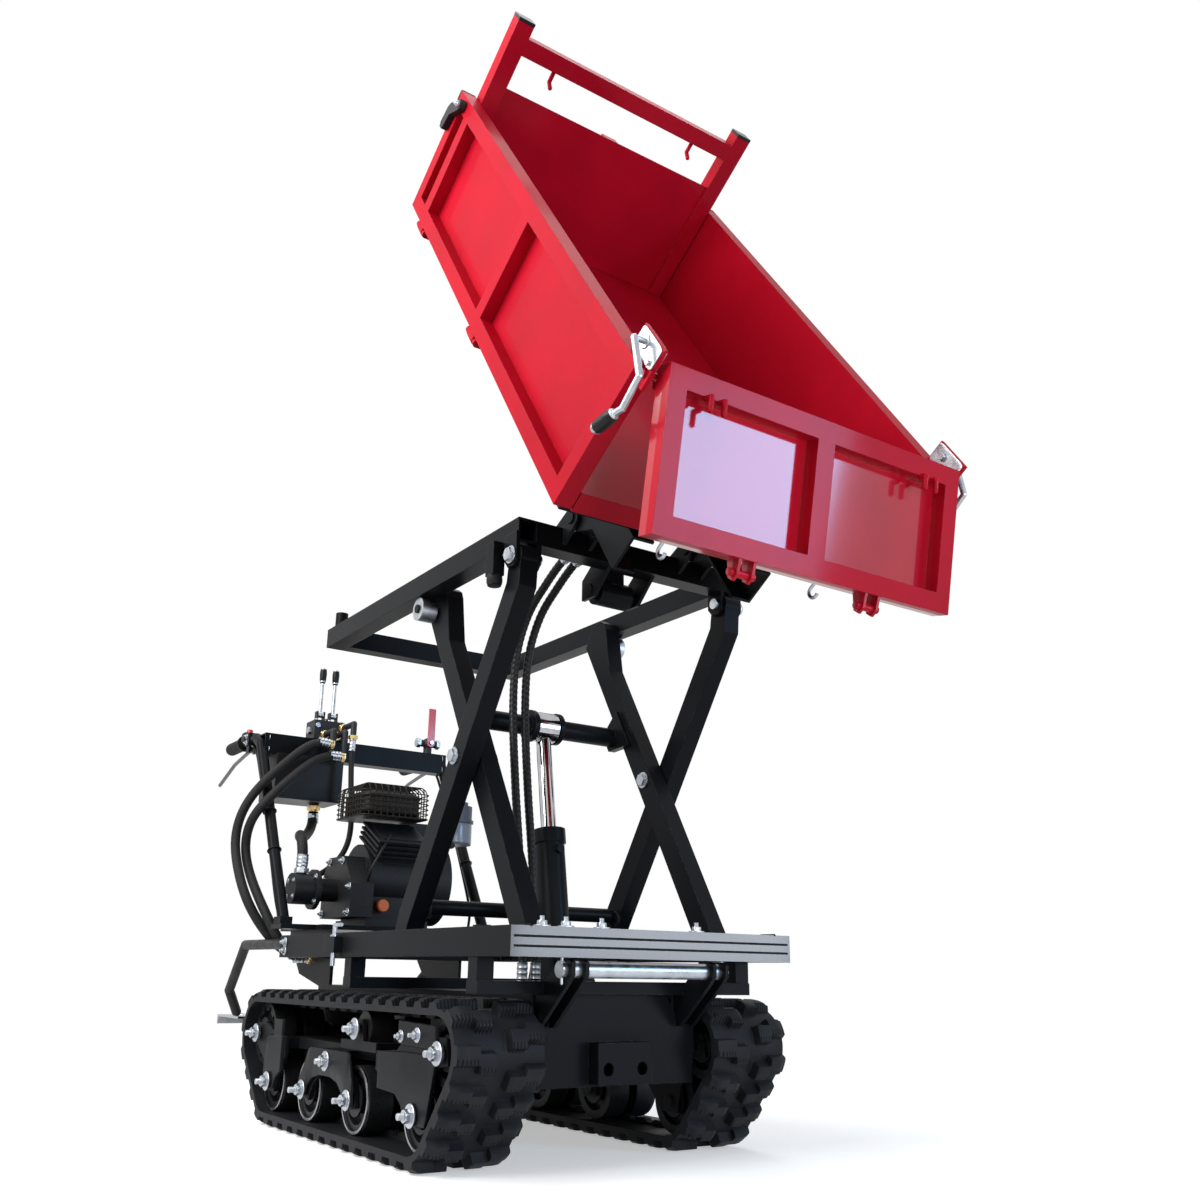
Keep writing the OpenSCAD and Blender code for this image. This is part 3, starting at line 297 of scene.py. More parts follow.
# %% [markdown]
# ## Bare and plated metal
# Zinc plate is bright but not a mirror: its gloss is blotchy, with a bluish cast. Piston rods are ground
# and hard chromed, so they are nearly mirrors. Brass fittings are warm. Cast iron is dull and grainy.

# %% Mix the metals
def plated(name, colour, rough, blotch, grain, **constants):
    """Metal whose gloss wanders with slow noise, and whose grain is a fine bump."""
    f = Finish(name, colour, rough, metallic=1.0, **constants)
    cloud = f.noise(45.0, 4.0)
    f.feed({"Base Color": f.mix(cloud.over(0.25, 0.75), tint(colour, 0.82), tint(colour)),
            "Roughness": rough + cloud.over(0.2, 0.8) * blotch})
    f.bump(f.noise(900.0, 2.0), grain, 0.0002, f.round_edges(0.0007))
    finishes[name] = f


plated("zinc_steel", (0.48, 0.51, 0.55), 0.24, 0.22, 0.12)
plated("chrome_rod", (0.52, 0.52, 0.54), 0.06, 0.05, 0.03)
plated("brass_fitting", (0.72, 0.52, 0.24), 0.22, 0.15, 0.08)
plated("guard_steel", (0.035, 0.032, 0.030), 0.45, 0.2, 0.2)
plated("worn_steel", (0.30, 0.30, 0.31), 0.25, 0.2, 0.1)
plated("tread_metal", BARE_STEEL, 0.40, 0.14, 0.2)
plated("lever_alloy", (0.16, 0.165, 0.175), 0.32, 0.12, 0.1)


def casting(name, colour, rough, grain, **constants):
    """Rough cast skin: coarse and fine grain together in the bump, and darker hollows."""
    f = Finish(name, colour, rough, **constants)
    skin = f.noise(240.0, 5.0)
    f.feed({"Base Color": f.mix(skin.over(0.3, 0.7), tint(colour, 0.7), tint(colour)),
            "Roughness": rough + skin * 0.18})
    f.bump(skin + f.noise(1200.0, 2.0) * 0.4, grain, 0.0006, f.round_edges(0.002))
    finishes[name] = f


casting("roller_steel", (0.022, 0.023, 0.025), 0.30, 0.12, metallic=0.3, specular_ior_level=0.08)
casting("valve_iron", (0.035, 0.037, 0.042), 0.42, 0.4, metallic=0.4, specular_ior_level=0.2)
casting("engine_alloy", (0.014, 0.0145, 0.016), 0.40, 0.5, metallic=0.2, specular_ior_level=0.2)
print("finishes so far:", len(finishes))

# %% [markdown]
# ## Rubber and plastic
# The tracks are moulded rubber: almost black, quite rough, with a greyer bloom on the faces that rub. Hoses
# are wrapped in a woven sleeve. Plastic housings have a fine even grain from the mould.

# %% Mix rubber and plastic
def moulded(name, colour, rough, bloom, grain, per_metre, **constants):
    """Moulded skin with a pale bloom in slow noise and an even fine grain."""
    f = Finish(name, colour, rough, **constants)
    cloud = f.noise(14.0, 5.0)
    f.feed({"Base Color": f.mix(cloud.over(0.35, 0.8), f.colour, tint(colour, plus=bloom)),
            "Roughness": rough + cloud.over(0.2, 0.8) * 0.12})
    f.bump(f.noise(per_metre, 3.0), grain, 0.0004, f.round_edges(0.0015))
    finishes[name] = f


moulded("track_rubber", (0.0090, 0.0095, 0.0110), 0.50, 0.008, 0.35, 300.0, specular_ior_level=0.10)
moulded("black_plastic", (0.0050, 0.0050, 0.0056), 0.36, 0.002, 0.2, 1100.0, specular_ior_level=0.2)
moulded("grey_plastic", (0.060, 0.070, 0.090), 0.38, 0.015, 0.15, 900.0, specular_ior_level=0.3)
moulded("clear_bowl", (0.16, 0.19, 0.24), 0.12, 0.02, 0.02, 300.0)
moulded("blank_label", (0.42, 0.46, 0.50), 0.35, 0.03, 0.05, 500.0)
moulded("orange_cap", (0.62, 0.13, 0.02), 0.4, 0.01, 0.1, 900.0)


def woven_sleeve(name, colour, rough):
    """Crossing spirals along a hose: two sine waves of its own UV map, in metres along and turns round."""
    f = Finish(name, colour, rough, specular_ior_level=0.2)
    along, around = f.sleeve_uv()
    threads = 14 * 2 * pi
    warp = (along * 900.0 + around * threads).apply("SINE")
    weft = (along * 900.0 - around * threads).apply("SINE")
    f.feed({"Roughness": rough + f.noise(30.0) * 0.15,
            "Base Color": f.mix((warp * weft).over(-0.6, 0.8), f.colour, tint(colour, plus=0.010))})
    f.bump(warp * weft, 0.35, 0.0008)
    finishes[name] = f


woven_sleeve("hose_rubber", (0.0075, 0.0075, 0.0085), 0.52)
print("finishes:", len(finishes))

# %% [markdown]
# ## Painting the CAD nodes
# The record names a material slot for each node. Giving each finish the slot's own name makes the painting
# a lookup.

# %% Paint every node
slot_of = {s["node"]: s["material_slot"] for s in frame["record"]["subparts"]}


def paint(obj, finish):
    """Puts one finish in every material slot of an object."""
    if not obj.material_slots:
        obj.data.materials.append(None)
    for held in obj.material_slots:
        held.material = finishes[finish].material


own_coat = {"tail_gate": "gate_gloss", "base_frame": "beam_coat", "rear_step": "step_coat"}
for name, obj in nodes.items():
    paint(obj, own_coat.get(name, slot_of[name]))
print("painted", len(nodes), "nodes with", len(set(slot_of.values())), "slots")

# %% [markdown]
# ## Surfaces from arrays
# Every new piece is a grid of points worked out in one go. A grid has rows and columns, and may be closed
# either way round. Shapes are kept as a pair of arrays, points and faces, so that many bolts become one
# object.

# %% Grids, stacks and pieces
def grid(points, rows_closed=False, columns_closed=False):
    """Points of shape (rows, columns, 3) to quads (r, c), (r, c+1), (r+1, c+1), (r+1, c), numbered flat."""
    rows, columns = points.shape[:2]
    index = np.arange(rows * columns).reshape(rows, columns)
    down = np.roll(index, -1, 0) if rows_closed else index[1:]
    index = index if rows_closed else index[:-1]
    here, there = index, down
    if columns_closed:
        beside, beyond = np.roll(here, -1, 1), np.roll(there, -1, 1)
    else:
        here, beside, there, beyond = here[:, :-1], here[:, 1:], there[:, :-1], there[:, 1:]
    faces = np.stack([here, beside, beyond, there], -1).reshape(-1, 4)
    return points.reshape(-1, 3), faces


def outward(shape):
    """Turns faces round where the signed volume, the sum of a . (b x c) / 6, is below zero."""
    points, faces = shape
    q = points[faces] - points.mean(0)
    a, b, c, d = (q[:, k] for k in range(4))
    volume = (a * (np.cross(b, c) + np.cross(c, d))).sum()
    return (points, faces[:, ::-1]) if volume < 0 else shape


def stack(shapes):
    """Several shapes as one: points joined, face numbers moved up by the points before them."""
    points, faces, count = [], [], 0
    for p, f in map(outward, shapes):
        points.append(p)
        faces.append(f + count)
        count += len(p)
    return np.concatenate(points), np.concatenate(faces)


def piece(name, shape, finish, body, slot=None, sharp=35.0, uv=None):
    """An object at the origin with its place in its mesh, painted, smooth but for sharp edges, on a
    body."""
    points, faces = outward(shape)
    mesh = bpy.data.meshes.new(name)
    mesh.from_pydata(points.tolist(), [], faces.tolist())
    mesh.polygons.foreach_set("use_smooth", np.ones(len(faces), dtype=bool))
    mesh.set_sharp_from_angle(angle=radians(sharp))
    if uv is not None:
        layer = mesh.uv_layers.new(name="sleeve")
        layer.data.foreach_set("uv", uv[faces.reshape(-1)].reshape(-1))
    mesh.validate()
    obj = bpy.data.objects.new(name, mesh)
    scene.collection.objects.link(obj)
    paint(obj, finish)
    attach(obj, body)
    slot or (finish if finish in set(slot_of.values()) else "zinc_steel")
    return obj


def frame_of(axis):
    """Two unit vectors square to an axis, and the axis itself made unit."""
    axis = np.array(axis, float) / np.linalg.norm(axis)
    other = np.array([0.0, 0.0, 1.0]) if abs(axis[2]) < 0.9 else np.array([1.0, 0.0, 0.0])
    u = np.cross(axis, other)
    u /= np.linalg.norm(u)
    return u, np.cross(axis, u), axis


def revolve(profile, at, axis, sides=32):
    """Profile of (radius, height) rows turned about an axis through at: r cos a u + r sin a v + h axis.
    Ends of radius 0 close the shape."""
    u, v, w = frame_of(axis)
    r, h = np.array(profile, float).T
    a = np.linspace(0, 2 * pi, sides, endpoint=False)
    ring = np.cos(a)[:, None] * u + np.sin(a)[:, None] * v
    return grid(np.array(at) + r[:, None, None] * ring + h[:, None, None] * w, columns_closed=True)


def hexagon(at, axis, flats, height):
    """Bolt head or nut: in polar form a hexagon is apothem / cos(angle from the middle of a flat). Its top
    edge is drawn in by a chamfer, and the middle of the top is a pole."""
    u, v, w = frame_of(axis)
    a = np.linspace(0, 2 * pi, 24, endpoint=False)
    hexed = flats / 2 / np.cos((a + pi / 6) % (pi / 3) - pi / 6)
    rows = [(hexed * 0, 0), (hexed, 0), (hexed, height * 0.86), (np.minimum(hexed, flats * 0.5), height),
            (hexed * 0, height)]
    ring = np.cos(a)[:, None] * u + np.sin(a)[:, None] * v
    points = np.stack([np.array(at) + r[:, None] * ring + h * w for r, h in rows])
    return grid(points, columns_closed=True)


def washer(at, axis, radius, thick):
    """Disc with its upper edge broken."""
    return revolve([(0, 0), (radius, 0), (radius, thick * 0.7), (radius - thick * 0.3, thick), (0, thick)],
                   at, axis, 28)


def bolt(at, axis, flats, stub=0.0):
    """Washer, hexagon and a stub of thread standing out of it."""
    at, axis = np.array(at, float), np.array(axis, float) / np.linalg.norm(axis)
    shapes = [washer(at, axis, flats * 0.95, flats * 0.14),
              hexagon(at + axis * flats * 0.14, axis, flats, flats * 0.5)]
    if stub:
        turns = np.linspace(0, stub, 13)
        thread = [(flats * (0.29 if k % 2 else 0.26), t) for k, t in enumerate(turns)]
        shapes.append(revolve([(0, 0), *thread, (0, stub)], at + axis * flats * 0.62, axis, 20))
    return stack(shapes)


def smooth_route(points, per_span=12):
    """Catmull-Rom curve through given points, as the hoses in the CAD are drawn."""
    p = np.array(points, float)
    a, b = np.vstack([p[:1], p[:-2]]), p[:-1]
    c, d = p[1:], np.vstack([p[2:], p[-1:]])
    t = np.linspace(0, 1, per_span, endpoint=False)[None, :, None]
    a, b, c, d = (q[:, None, :] for q in (a, b, c, d))
    square, cube = 2 * a - 5 * b + 4 * c - d, 3 * b - a - 3 * c + d
    curve = 0.5 * (2 * b + (c - a) * t + square * t**2 + cube * t**3)
    return np.vstack([curve.reshape(-1, 3), p[-1:]])


def way_along(path):
    """Metres along a path at each of its points."""
    return np.r_[0, np.cumsum(np.linalg.norm(np.diff(path, axis=0), axis=1))]


def evenly(path, count):
    """A path cut again into equal steps, with the metres along at each new point."""
    way = way_along(path)
    even = np.linspace(0, way[-1], count)
    return np.stack([np.interp(even, way, path[:, k]) for k in range(3)], -1), even


STEP_TUBE = np.array((-0.612, -0.280, 0.418))


def eased(path, room=0.006, count=61, rounds=3000):
    """A hose resists bending, so each round takes 6% of the fourth difference away from every point, which
    evens out the bends. No point goes further than the room from the CAD's route, and the two points at
    each end stay. The room narrows where the outer hose passes close by a tube of the rear step."""
    route = evenly(path, count)[0]
    line = route.copy()
    room = room * np.clip(np.linalg.norm(route - STEP_TUBE, axis=1, keepdims=True) / 0.06, 0.04, 1)
    for _ in range(rounds):
        bend = np.zeros_like(line)
        bend[1:-1] = line[:-2] - 2 * line[1:-1] + line[2:]
        line[2:-2] -= 0.06 * (bend[1:-3] - 2 * bend[2:-2] + bend[3:-1])
        off = line - route
        far = np.maximum(np.linalg.norm(off, axis=1, keepdims=True), 1e-9)
        line = route + off * np.minimum(1, room / far)
    return line


def sweep(path, radius, sides=20, side_on=(0.1, 1.0, 0.2), wound=0.0):
    """A circle of changing radius carried along a path: centre + r (cos a u + sin a v), with u square to
    the path and to a side direction. A wound tube has a spiral groove, |sin|^6 of length along over 12
    mm less turns round. The ends close on poles. Also gives UVs, metres along and turns round."""
    path = np.array(path, float)
    tangent = np.gradient(path, axis=0)
    tangent /= np.linalg.norm(tangent, axis=1)[:, None]
    u = np.cross(tangent, np.array(side_on, float))
    u /= np.linalg.norm(u, axis=1)[:, None]
    v = np.cross(tangent, u)
    a = np.linspace(0, 2 * pi, sides, endpoint=False)
    along = way_along(path)
    groove = np.abs(np.sin(pi * along[:, None] / 0.012 - a[None] / 2)) ** 6
    r = np.broadcast_to(radius, (len(path),))[:, None] - wound * groove
    ring = np.cos(a)[None, :, None] * u[:, None] + np.sin(a)[None, :, None] * v[:, None]
    body = path[:, None] + r[..., None] * ring
    body = np.concatenate([np.repeat(path[:1, None], sides, 1), body, np.repeat(path[-1:, None], sides, 1)])
    along = np.concatenate([along[:1], along, along[-1:]])
    uv = np.stack(np.broadcast_arrays(along[:, None], (a / (2 * pi))[None]), -1).reshape(-1, 2)
    return grid(body, columns_closed=True), uv


print("shape helpers ready")

# %% [markdown]
# ## Rubber tracks
# A track is a height field on a belt. One direction is length along the path round four wheels, the other
# is width. The path is straight between the wheels' outside tangents and an arc on each wheel. The lugs are
# steps of that height: two staggered columns of bent blocks, with fine sipes on their leading edges, and
# teeth on the inside.

# %% Track path and lugs
WHEELS = np.array([[-0.400, 0.195, 0.070], [0.542, 0.205, 0.062], [0.450, 0.095, 0.065],
                   [-0.300, 0.095, 0.065]])
BELT_T, LUG_H, LUGS, TRACK_W, TRACK_Y = 0.012, 0.018, 40, 0.180, joint_at["drive_sprocket_left_spin"][1]
LUG_BEND_AT, LUG_BEND, SHY = 0.047, 0.17, 0.0004


def belt_path(s_share):
    """Point on the wheels' rim and outward normal, at shares of the belt's length measured in mid
    thickness."""
    a, b = WHEELS, np.roll(WHEELS, -1, 0)
    d = (b - a)[:, :2]
    gap = np.linalg.norm(d, axis=1)
    angle = np.arctan2(d[:, 1], d[:, 0]) + np.arccos((a[:, 2] - b[:, 2]) / gap)
    straight = np.sqrt(gap**2 - (a[:, 2] - b[:, 2]) ** 2)
    turn = (angle - np.roll(angle, -1)) % (2 * pi)
    arc = turn * (b[:, 2] + BELT_T / 2)
    start = np.concatenate([[0], np.cumsum(straight + arc)])
    s = s_share * start[-1]
    k = np.clip(np.searchsorted(start, s, "right") - 1, 0, 3)
    s = s - start[k]
    on_run = s < straight[k]
    g = np.where(on_run, angle[k], angle[k] - (s - straight[k]) / (b[k, 2] + BELT_T / 2))
    out = np.stack([np.cos(g), np.sin(g)], -1)
    onward = np.stack([np.sin(g), -np.cos(g)], -1)
    rim = np.where(on_run[:, None], a[k, :2] + a[k, 2:] * out + s[:, None] * onward,
                   b[k, :2] + b[k, 2:] * out)
    return rim, out, start[-1]


def step(x, low, high, soft):
    """1 between low and high, with soft edges."""
    up = np.clip((x - low) / soft + 0.5, 0, 1)
    down = np.clip((high - x) / soft + 0.5, 0, 1)
    rise = np.minimum(up, down)
    return rise * rise * (3 - 2 * rise)


def lug_height(share, y):
    """Height above the belt. Each side of the middle band has its own phase, and the inner third of a lug
    is set back, so that a lug is bent like an L. Its walls lean, so the steps are a little soft."""
    column = np.where(y < 0, 0.0, 0.5)
    bent = np.where(np.abs(y) < LUG_BEND_AT, LUG_BEND, 0.0)
    phase = (share * LUGS - column - bent) % 1.0
    bar = step(phase, 0.03, 0.50, 0.055)
    shoulder = step(np.abs(y), 0.014, TRACK_W / 2 + 0.01, 0.004)
    worn = 1.0 - 0.40 * np.clip((np.abs(y) - 0.076) / 0.010, 0, 1)
    return bar * shoulder * worn * (LUG_H - SHY)


def rubber_track(side):
    """Points rim + t out: t is the belt plus its lugs on the outside, and the drive teeth on the inside."""
    share = np.linspace(0, 1, LUGS * 26, endpoint=False)
    rim, out, length = belt_path(share)
    half = TRACK_W / 2 - SHY
    inner = np.array([0.0, 0.006, 0.0115, 0.0125, 0.014, 0.0155, 0.0165, 0.024, 0.034, 0.0455, 0.0465,
                      0.0475, 0.0485, 0.058, 0.068, 0.078, 0.086, half])
    y_out = np.concatenate([-inner[:0:-1], inner])
    y_in = np.array([half, 0.060, 0.0095, 0.0080, -0.0080, -0.0095, -0.060, -half])
    t_out = BELT_T + lug_height(share[:, None], y_out[None])
    tooth = 0.004 + 0.0075 * step(share * LUGS % 1.0, 0.2, 0.8, 0.2)
    t_in = np.where(np.abs(y_in)[None] < 0.009, -tooth[:, None], 0.0005)
    t, y = np.concatenate([t_out, t_in], 1), np.concatenate([y_out, y_in])
    flat = rim[:, None] + t[..., None] * out[:, None]
    points = np.stack([flat[..., 0], np.broadcast_to(y + side * TRACK_Y, t.shape), flat[..., 1]], -1)
    # The inside of the belt gets a width that is far off, where no sipes are drawn.
    wide = np.where(t > 0.001, y, 9.0)
    uv = np.stack(np.broadcast_arrays(share[:, None] * LUGS, wide), -1).reshape(-1, 2)
    return grid(points, rows_closed=True, columns_closed=True), uv, length


# %% Rubber with sipes
def belt_rubber(name, colour, rough):
    """Sipes are cuts 7 mm apart across the leading wall of each lug: a saw of the belt's own width
    coordinate, shown where the lug's phase is near its end. The bump presses them in, and their colour is
    darkened with painted shade."""
    f = Finish(name, colour, rough, specular_ior_level=0.10)
    lugs_along, wide = f.sleeve_uv()
    off_middle = wide.apply("ABSOLUTE")
    left_side = wide.over(-0.0001, 0.0001)
    bent = (1.0 - off_middle.over(LUG_BEND_AT - 0.0005, LUG_BEND_AT + 0.0005)) * LUG_BEND
    phase = (lugs_along - left_side * 0.5 - bent + float(LUGS)).apply("FRACT")
    saw = (off_middle * (1 / 0.007)).apply("FRACT")
    cut = saw.over(0.30, 0.42) * (1.0 - saw.over(0.58, 0.70))
    cut = cut * phase.over(0.33, 0.36) * (1.0 - phase.over(0.55, 0.57))
    cut = cut * off_middle.over(0.013, 0.015) * (1.0 - off_middle.over(0.09, 0.10))
    cloud = f.noise(14.0, 5.0)
    tone = f.mix(cloud.over(0.35, 0.8), f.colour, tint(colour, plus=0.010))
    # Inside the sipes the colour drops to 15%: painted shade in the cuts.
    f.feed({"Base Color": f.mix(cut, tone, tint(colour, 0.15)),
            "Roughness": rough + cloud.over(0.2, 0.8) * 0.12 + cut * 0.2})
    f.bump(f.noise(300.0, 3.0) * 0.25 - cut * 2.2, 0.6, 0.0016, f.round_edges(0.0015))
    finishes[name] = f


belt_rubber("belt_rubber", (0.0090, 0.0096, 0.0118), 0.46)
for word, side in SIDES:
    shape, uv, length = rubber_track(side)
    belt = piece("rubber_track_" + word, shape, "belt_rubber", "chassis", "track_rubber", 40, uv)
    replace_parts(belt, "track_belt_" + word)
    print(word, "track:", len(shape[1]), "quads,", round(length, 3), "m round")

# %% [markdown]
# ## Hoses and cables
# Six hydraulic hoses and two control cables run between fittings on the machine. Each follows the same
# points as its solid in the CAD, on one smooth curve. They are tubes with a woven sleeve and a
# crimped ferrule at each end. The pair that feeds the upper frame is wound with a plastic spiral.

# %% Hose routes
BEAM_X, BEAM_TOP, BEAM_LOW, GRIP_Z, BAR_Y = -0.810, 0.995, 0.935, 0.989, 0.290
VALVE_Y = (-0.124, -0.084)
LIFT_HOSE_LOW, LIFT_HOSE_Y = 0.3312, (-0.100, -0.130)
SIDEWAYS, ENDWAYS, CORNERWAYS = (1.0, 0.1, 0.1), (0.1, 1.0, 0.2), (1.0, -1.0, 0.3)
ROUTES = {
    "return_hose_1": (0.0125, SIDEWAYS, [
        (-0.7000, -0.0954, 0.9350), (-0.7000, -0.1220, 0.9330), (-0.6897, -0.1650, 0.9150),
        (-0.6756, -0.2280, 0.8620), (-0.6599, -0.3040, 0.7850), (-0.6879, -0.3380, 0.7420),
        (-0.7263, -0.3370, 0.6900), (-0.7300, -0.3300, 0.6400), (-0.6900, -0.3240, 0.5850),
        (-0.6300, -0.3200, 0.5250), (-0.5920, -0.2960, 0.4680), (-0.5780, -0.2680, 0.4120),
        (-0.5700, -0.2420, 0.3760), (-0.5700, -0.2220, 0.3720), (-0.5700, -0.1998, 0.3720)]),
    "return_hose_2": (0.0125, SIDEWAYS, [
        (-0.7000, -0.1314, 0.9680), (-0.7000, -0.1580, 0.9660), (-0.6926, -0.2060, 0.9380),
        (-0.6914, -0.2660, 0.8799), (-0.7145, -0.3350, 0.8058), (-0.7375, -0.3610, 0.7349),
        (-0.7397, -0.3610, 0.6741), (-0.7070, -0.3560, 0.6120), (-0.6520, -0.3540, 0.5530),
        (-0.6260, -0.3460, 0.5050), (-0.6220, -0.3180, 0.4620), (-0.6120, -0.2740, 0.4120),
        (-0.6030, -0.2440, 0.3840), (-0.6030, -0.2220, 0.3800), (-0.6030, -0.1998, 0.3800)]),
    "suction_hose": (0.0140, ENDWAYS, [
        (-0.8100, -0.1200, 0.7810), (-0.8100, -0.1200, 0.7490), (-0.7600, -0.1520, 0.7130),
        (-0.7000, -0.1900, 0.6920), (-0.6120, -0.2260, 0.6920), (-0.5620, -0.2360, 0.6680),
        (-0.5520, -0.2360, 0.6420), (-0.5520, -0.2360, 0.6044)]),
    "pressure_hose": (0.0080, CORNERWAYS, [
        (-0.6880, -0.0640, 0.9835), (-0.6880, -0.0640, 0.9550), (-0.6802, -0.0620, 0.8399),
        (-0.6622, -0.0620, 0.7245), (-0.6580, -0.0720, 0.6680), (-0.6580, -0.1120, 0.6160),
        (-0.6700, -0.1780, 0.5720), (-0.6620, -0.2260, 0.5500), (-0.6400, -0.2360, 0.5450),
        (-0.6124, -0.2360, 0.5450)])}
for number, y in enumerate(LIFT_HOSE_Y, 1):
    ROUTES["lift_hose_%d" % number] = (0.0090, ENDWAYS, [(x, y, z) for x, z in (
        (0.4198, LIFT_HOSE_LOW), (0.4198, 0.3840), (0.3978, 0.5501), (0.3678, 0.7201), (0.3478, 0.8801),
        (0.3538, 1.0001), (0.3978, 1.0841), (0.4698, 1.1371), (0.5320, 1.1701), (0.5666, 1.1741))])
for word, side in SIDES:
    ROUTES["clutch_cable_" + word] = (0.0040, ENDWAYS, [
        (x, side * y, z) for x, y, z in (
            (-0.8877, BAR_Y, 0.959), (-0.868, BAR_Y, 0.958), (-0.838, BAR_Y, 0.930), (-0.800, BAR_Y, 0.876),
            (-0.7248, BAR_Y, 0.7651), (-0.6419, BAR_Y, 0.625), (-0.585, BAR_Y - 0.002, 0.520),
            (-0.566, BAR_Y - 0.012, 0.468), (-0.551, BAR_Y - 0.024, 0.446))])
print("routes:", len(ROUTES))


# %% Tubes and ferrules
def ferrule(at, onward, radius, long=0.030):
    """Crimped sleeve over the end of a hose: three pressed rings."""
    z = np.linspace(0, long, 25)
    crimped = radius + 0.0022 - 0.0010 * np.abs(np.sin(z / long * 3 * pi))
    return revolve([(0, 0)] + list(zip(crimped, z)) + [(0, long)], at, onward, 24)


def tightest(path):
    """Smallest bend radius of a path: a step's length over the turn between two, in steps of 12 mm or
    so."""
    spaced, even = evenly(path, max(8, int(way_along(path)[-1] / 0.012)))
    legs = np.diff(spaced, axis=0)
    unit = legs / np.linalg.norm(legs, axis=1)[:, None]
    turn = np.arccos(np.clip((unit[1:] * unit[:-1]).sum(1), -1, 1))
    return float((even[1] / np.maximum(turn, 1e-4)).min())


crimps = {"chassis": [], "deck": []}
for name, (radius, side_on, points) in ROUTES.items():
    spiral, cable = name.startswith("lift_hose"), radius < 0.005
    path = smooth_route(points, 48 if spiral else 14)
    if not cable and not spiral:
        path = smooth_route(eased(path), 3)
    shape, uv = sweep(path, radius, 12 if cable else 24, side_on, 0.0009 if spiral else 0.0)
    finish = "black_plastic" if spiral or cable else "hose_rubber"
    tube = piece(name, shape, finish, "chassis", "hose_rubber", 60, uv)
    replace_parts(tube, "hoses")
    length = float(way_along(path)[-1])
    2 * radius
    "medium" if radius < 0.005 else "stiff"
    if spiral:
        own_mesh(tube)
    if not cable:
        crimps["chassis"].append(ferrule(path[0], path[1] - path[0], radius))
        crimps["deck" if spiral else "chassis"].append(ferrule(path[-1], path[-2] - path[-1], radius))
    print(name, "length", round(length, 3), "m, tightest bend", round(tightest(path) * 1000), "mm")
piece("hose_ferrules", stack(crimps["chassis"]), "zinc_steel", "chassis")
piece("deck_ferrules", stack(crimps["deck"]), "zinc_steel", "deck")

# %% [markdown]
# ## Working in the tilted box
# The box stands tilted in the rest pose. It is easier to think of it level, about its own pivot, and to
# turn the points at the end. The pivot is read from the frame's joints.

# %% Frame of the box
TIP = radians(56.0)


def turned(shape, pivot, angle):
    """Points turned about Y through their own origin and moved to a pivot: x cos + z sin, z cos - x sin."""
    x, y, z = np.moveaxis(shape[0], -1, 0)
    points = np.stack([pivot[0] + x * cos(angle) + z * sin(angle), y,
                       pivot[2] + z * cos(angle) - x * sin(angle)], -1)
    return points, shape[1]


def in_box(shape):
    """A shape drawn in the level box, put where the tipped box is."""
    return turned(shape, joint_at["tip"], TIP)


def slab(middle, size, soft=0.18):
    """Rounded block: a superellipsoid, whose sines and cosines are raised to a small power with their sign
    kept."""
    a = np.linspace(-pi / 2, pi / 2, 13)[:, None]
    b = np.linspace(-pi, pi, 32, endpoint=False)[None]
    ca, sa, cb, sb = (np.sign(v) * np.abs(v) ** soft for v in (np.cos(a), np.sin(a), np.cos(b), np.sin(b)))
    points = np.stack([ca * cb, ca * sb, sa * np.ones_like(b)], -1) * np.array(size) / 2 + np.array(middle)
    return grid(points, columns_closed=True)


print("box turned", round(TIP * 180 / pi, 1), "degrees")

# %% [markdown]
# ## Plugs, bumpers and grips
# Open tube ends are closed with black plastic plugs. Two rubber bumpers stand under the upper frame. The
# handle grips are ribbed rubber: a profile with a fine wave, turned about the bar.

# %% Plugs and bumpers
BOX_REAR, BOX_FRONT, BOX_HALF, BOARD_TOP, BOX_Z = -1.006, 0.226, 0.379, 0.437, 0.144
plugs = [in_box(slab((BOX_REAR + 0.021, s * 0.320, BOX_Z + 0.492), (0.043, 0.043, 0.008))) for s in (1, -1)]
piece("post_plugs", stack(plugs), "black_plastic", "box")
for word, s in SIDES:
    end = slab((BOX_REAR - 0.001, s * (BOX_HALF - 0.018), BOARD_TOP - 0.018), (0.007, 0.038, 0.038))
    piece("rail_plug_" + word, in_box(end), "black_plastic", "board_" + word)

deck_z = joint_at["deck_pivot"][2]
bulge = [(0, -0.0535), (0.0125, -0.053), (0.0156, -0.047), (0.0162, -0.040), (0.0156, -0.034),
         (0.0140, -0.030), (0, -0.030)]
bumpers = [revolve(bulge, (0.543, s * 0.297, deck_z), (0, 0, 1), 28) for s in (1, -1)]
piece("rubber_bumpers", stack(bumpers), "track_rubber", "deck")

# %% Ribbed grips and knobs
h = np.linspace(0.006, 0.124, 90)
ribs = 0.0187 + 0.0007 * np.sin(2 * pi * h / 0.0079)
ribbed = [(0, 0), (0.0165, 0.0), (0.0185, 0.003), *zip(ribs, h)]
ribbed += [(0.0187, 0.127), (0.0245, 0.1285), (0.0250, 0.1320), (0.0240, 0.1355), (0.0, 0.136)]
grip_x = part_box("grips")[0][0]
pair = [revolve(ribbed, (grip_x, s * BAR_Y, GRIP_Z), (1, 0, 0), 36) for s in (1, -1)]
grips = piece("handle_grips", stack(pair), "black_plastic", "chassis")
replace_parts(grips, "grips")

knob = [(0, 0), (0.0070, 0), (0.0094, 0.008), (0.0106, 0.030), (0.0095, 0.042), (0.0050, 0.0460),
        (0, 0.0465)]
for name, y in zip(("valve_lift", "valve_tip"), VALVE_Y):
    piece(name + "_knob", revolve(knob, (BEAM_X, y, BEAM_TOP + 0.175), (0, 0, 1), 28), "black_plastic",
          name)

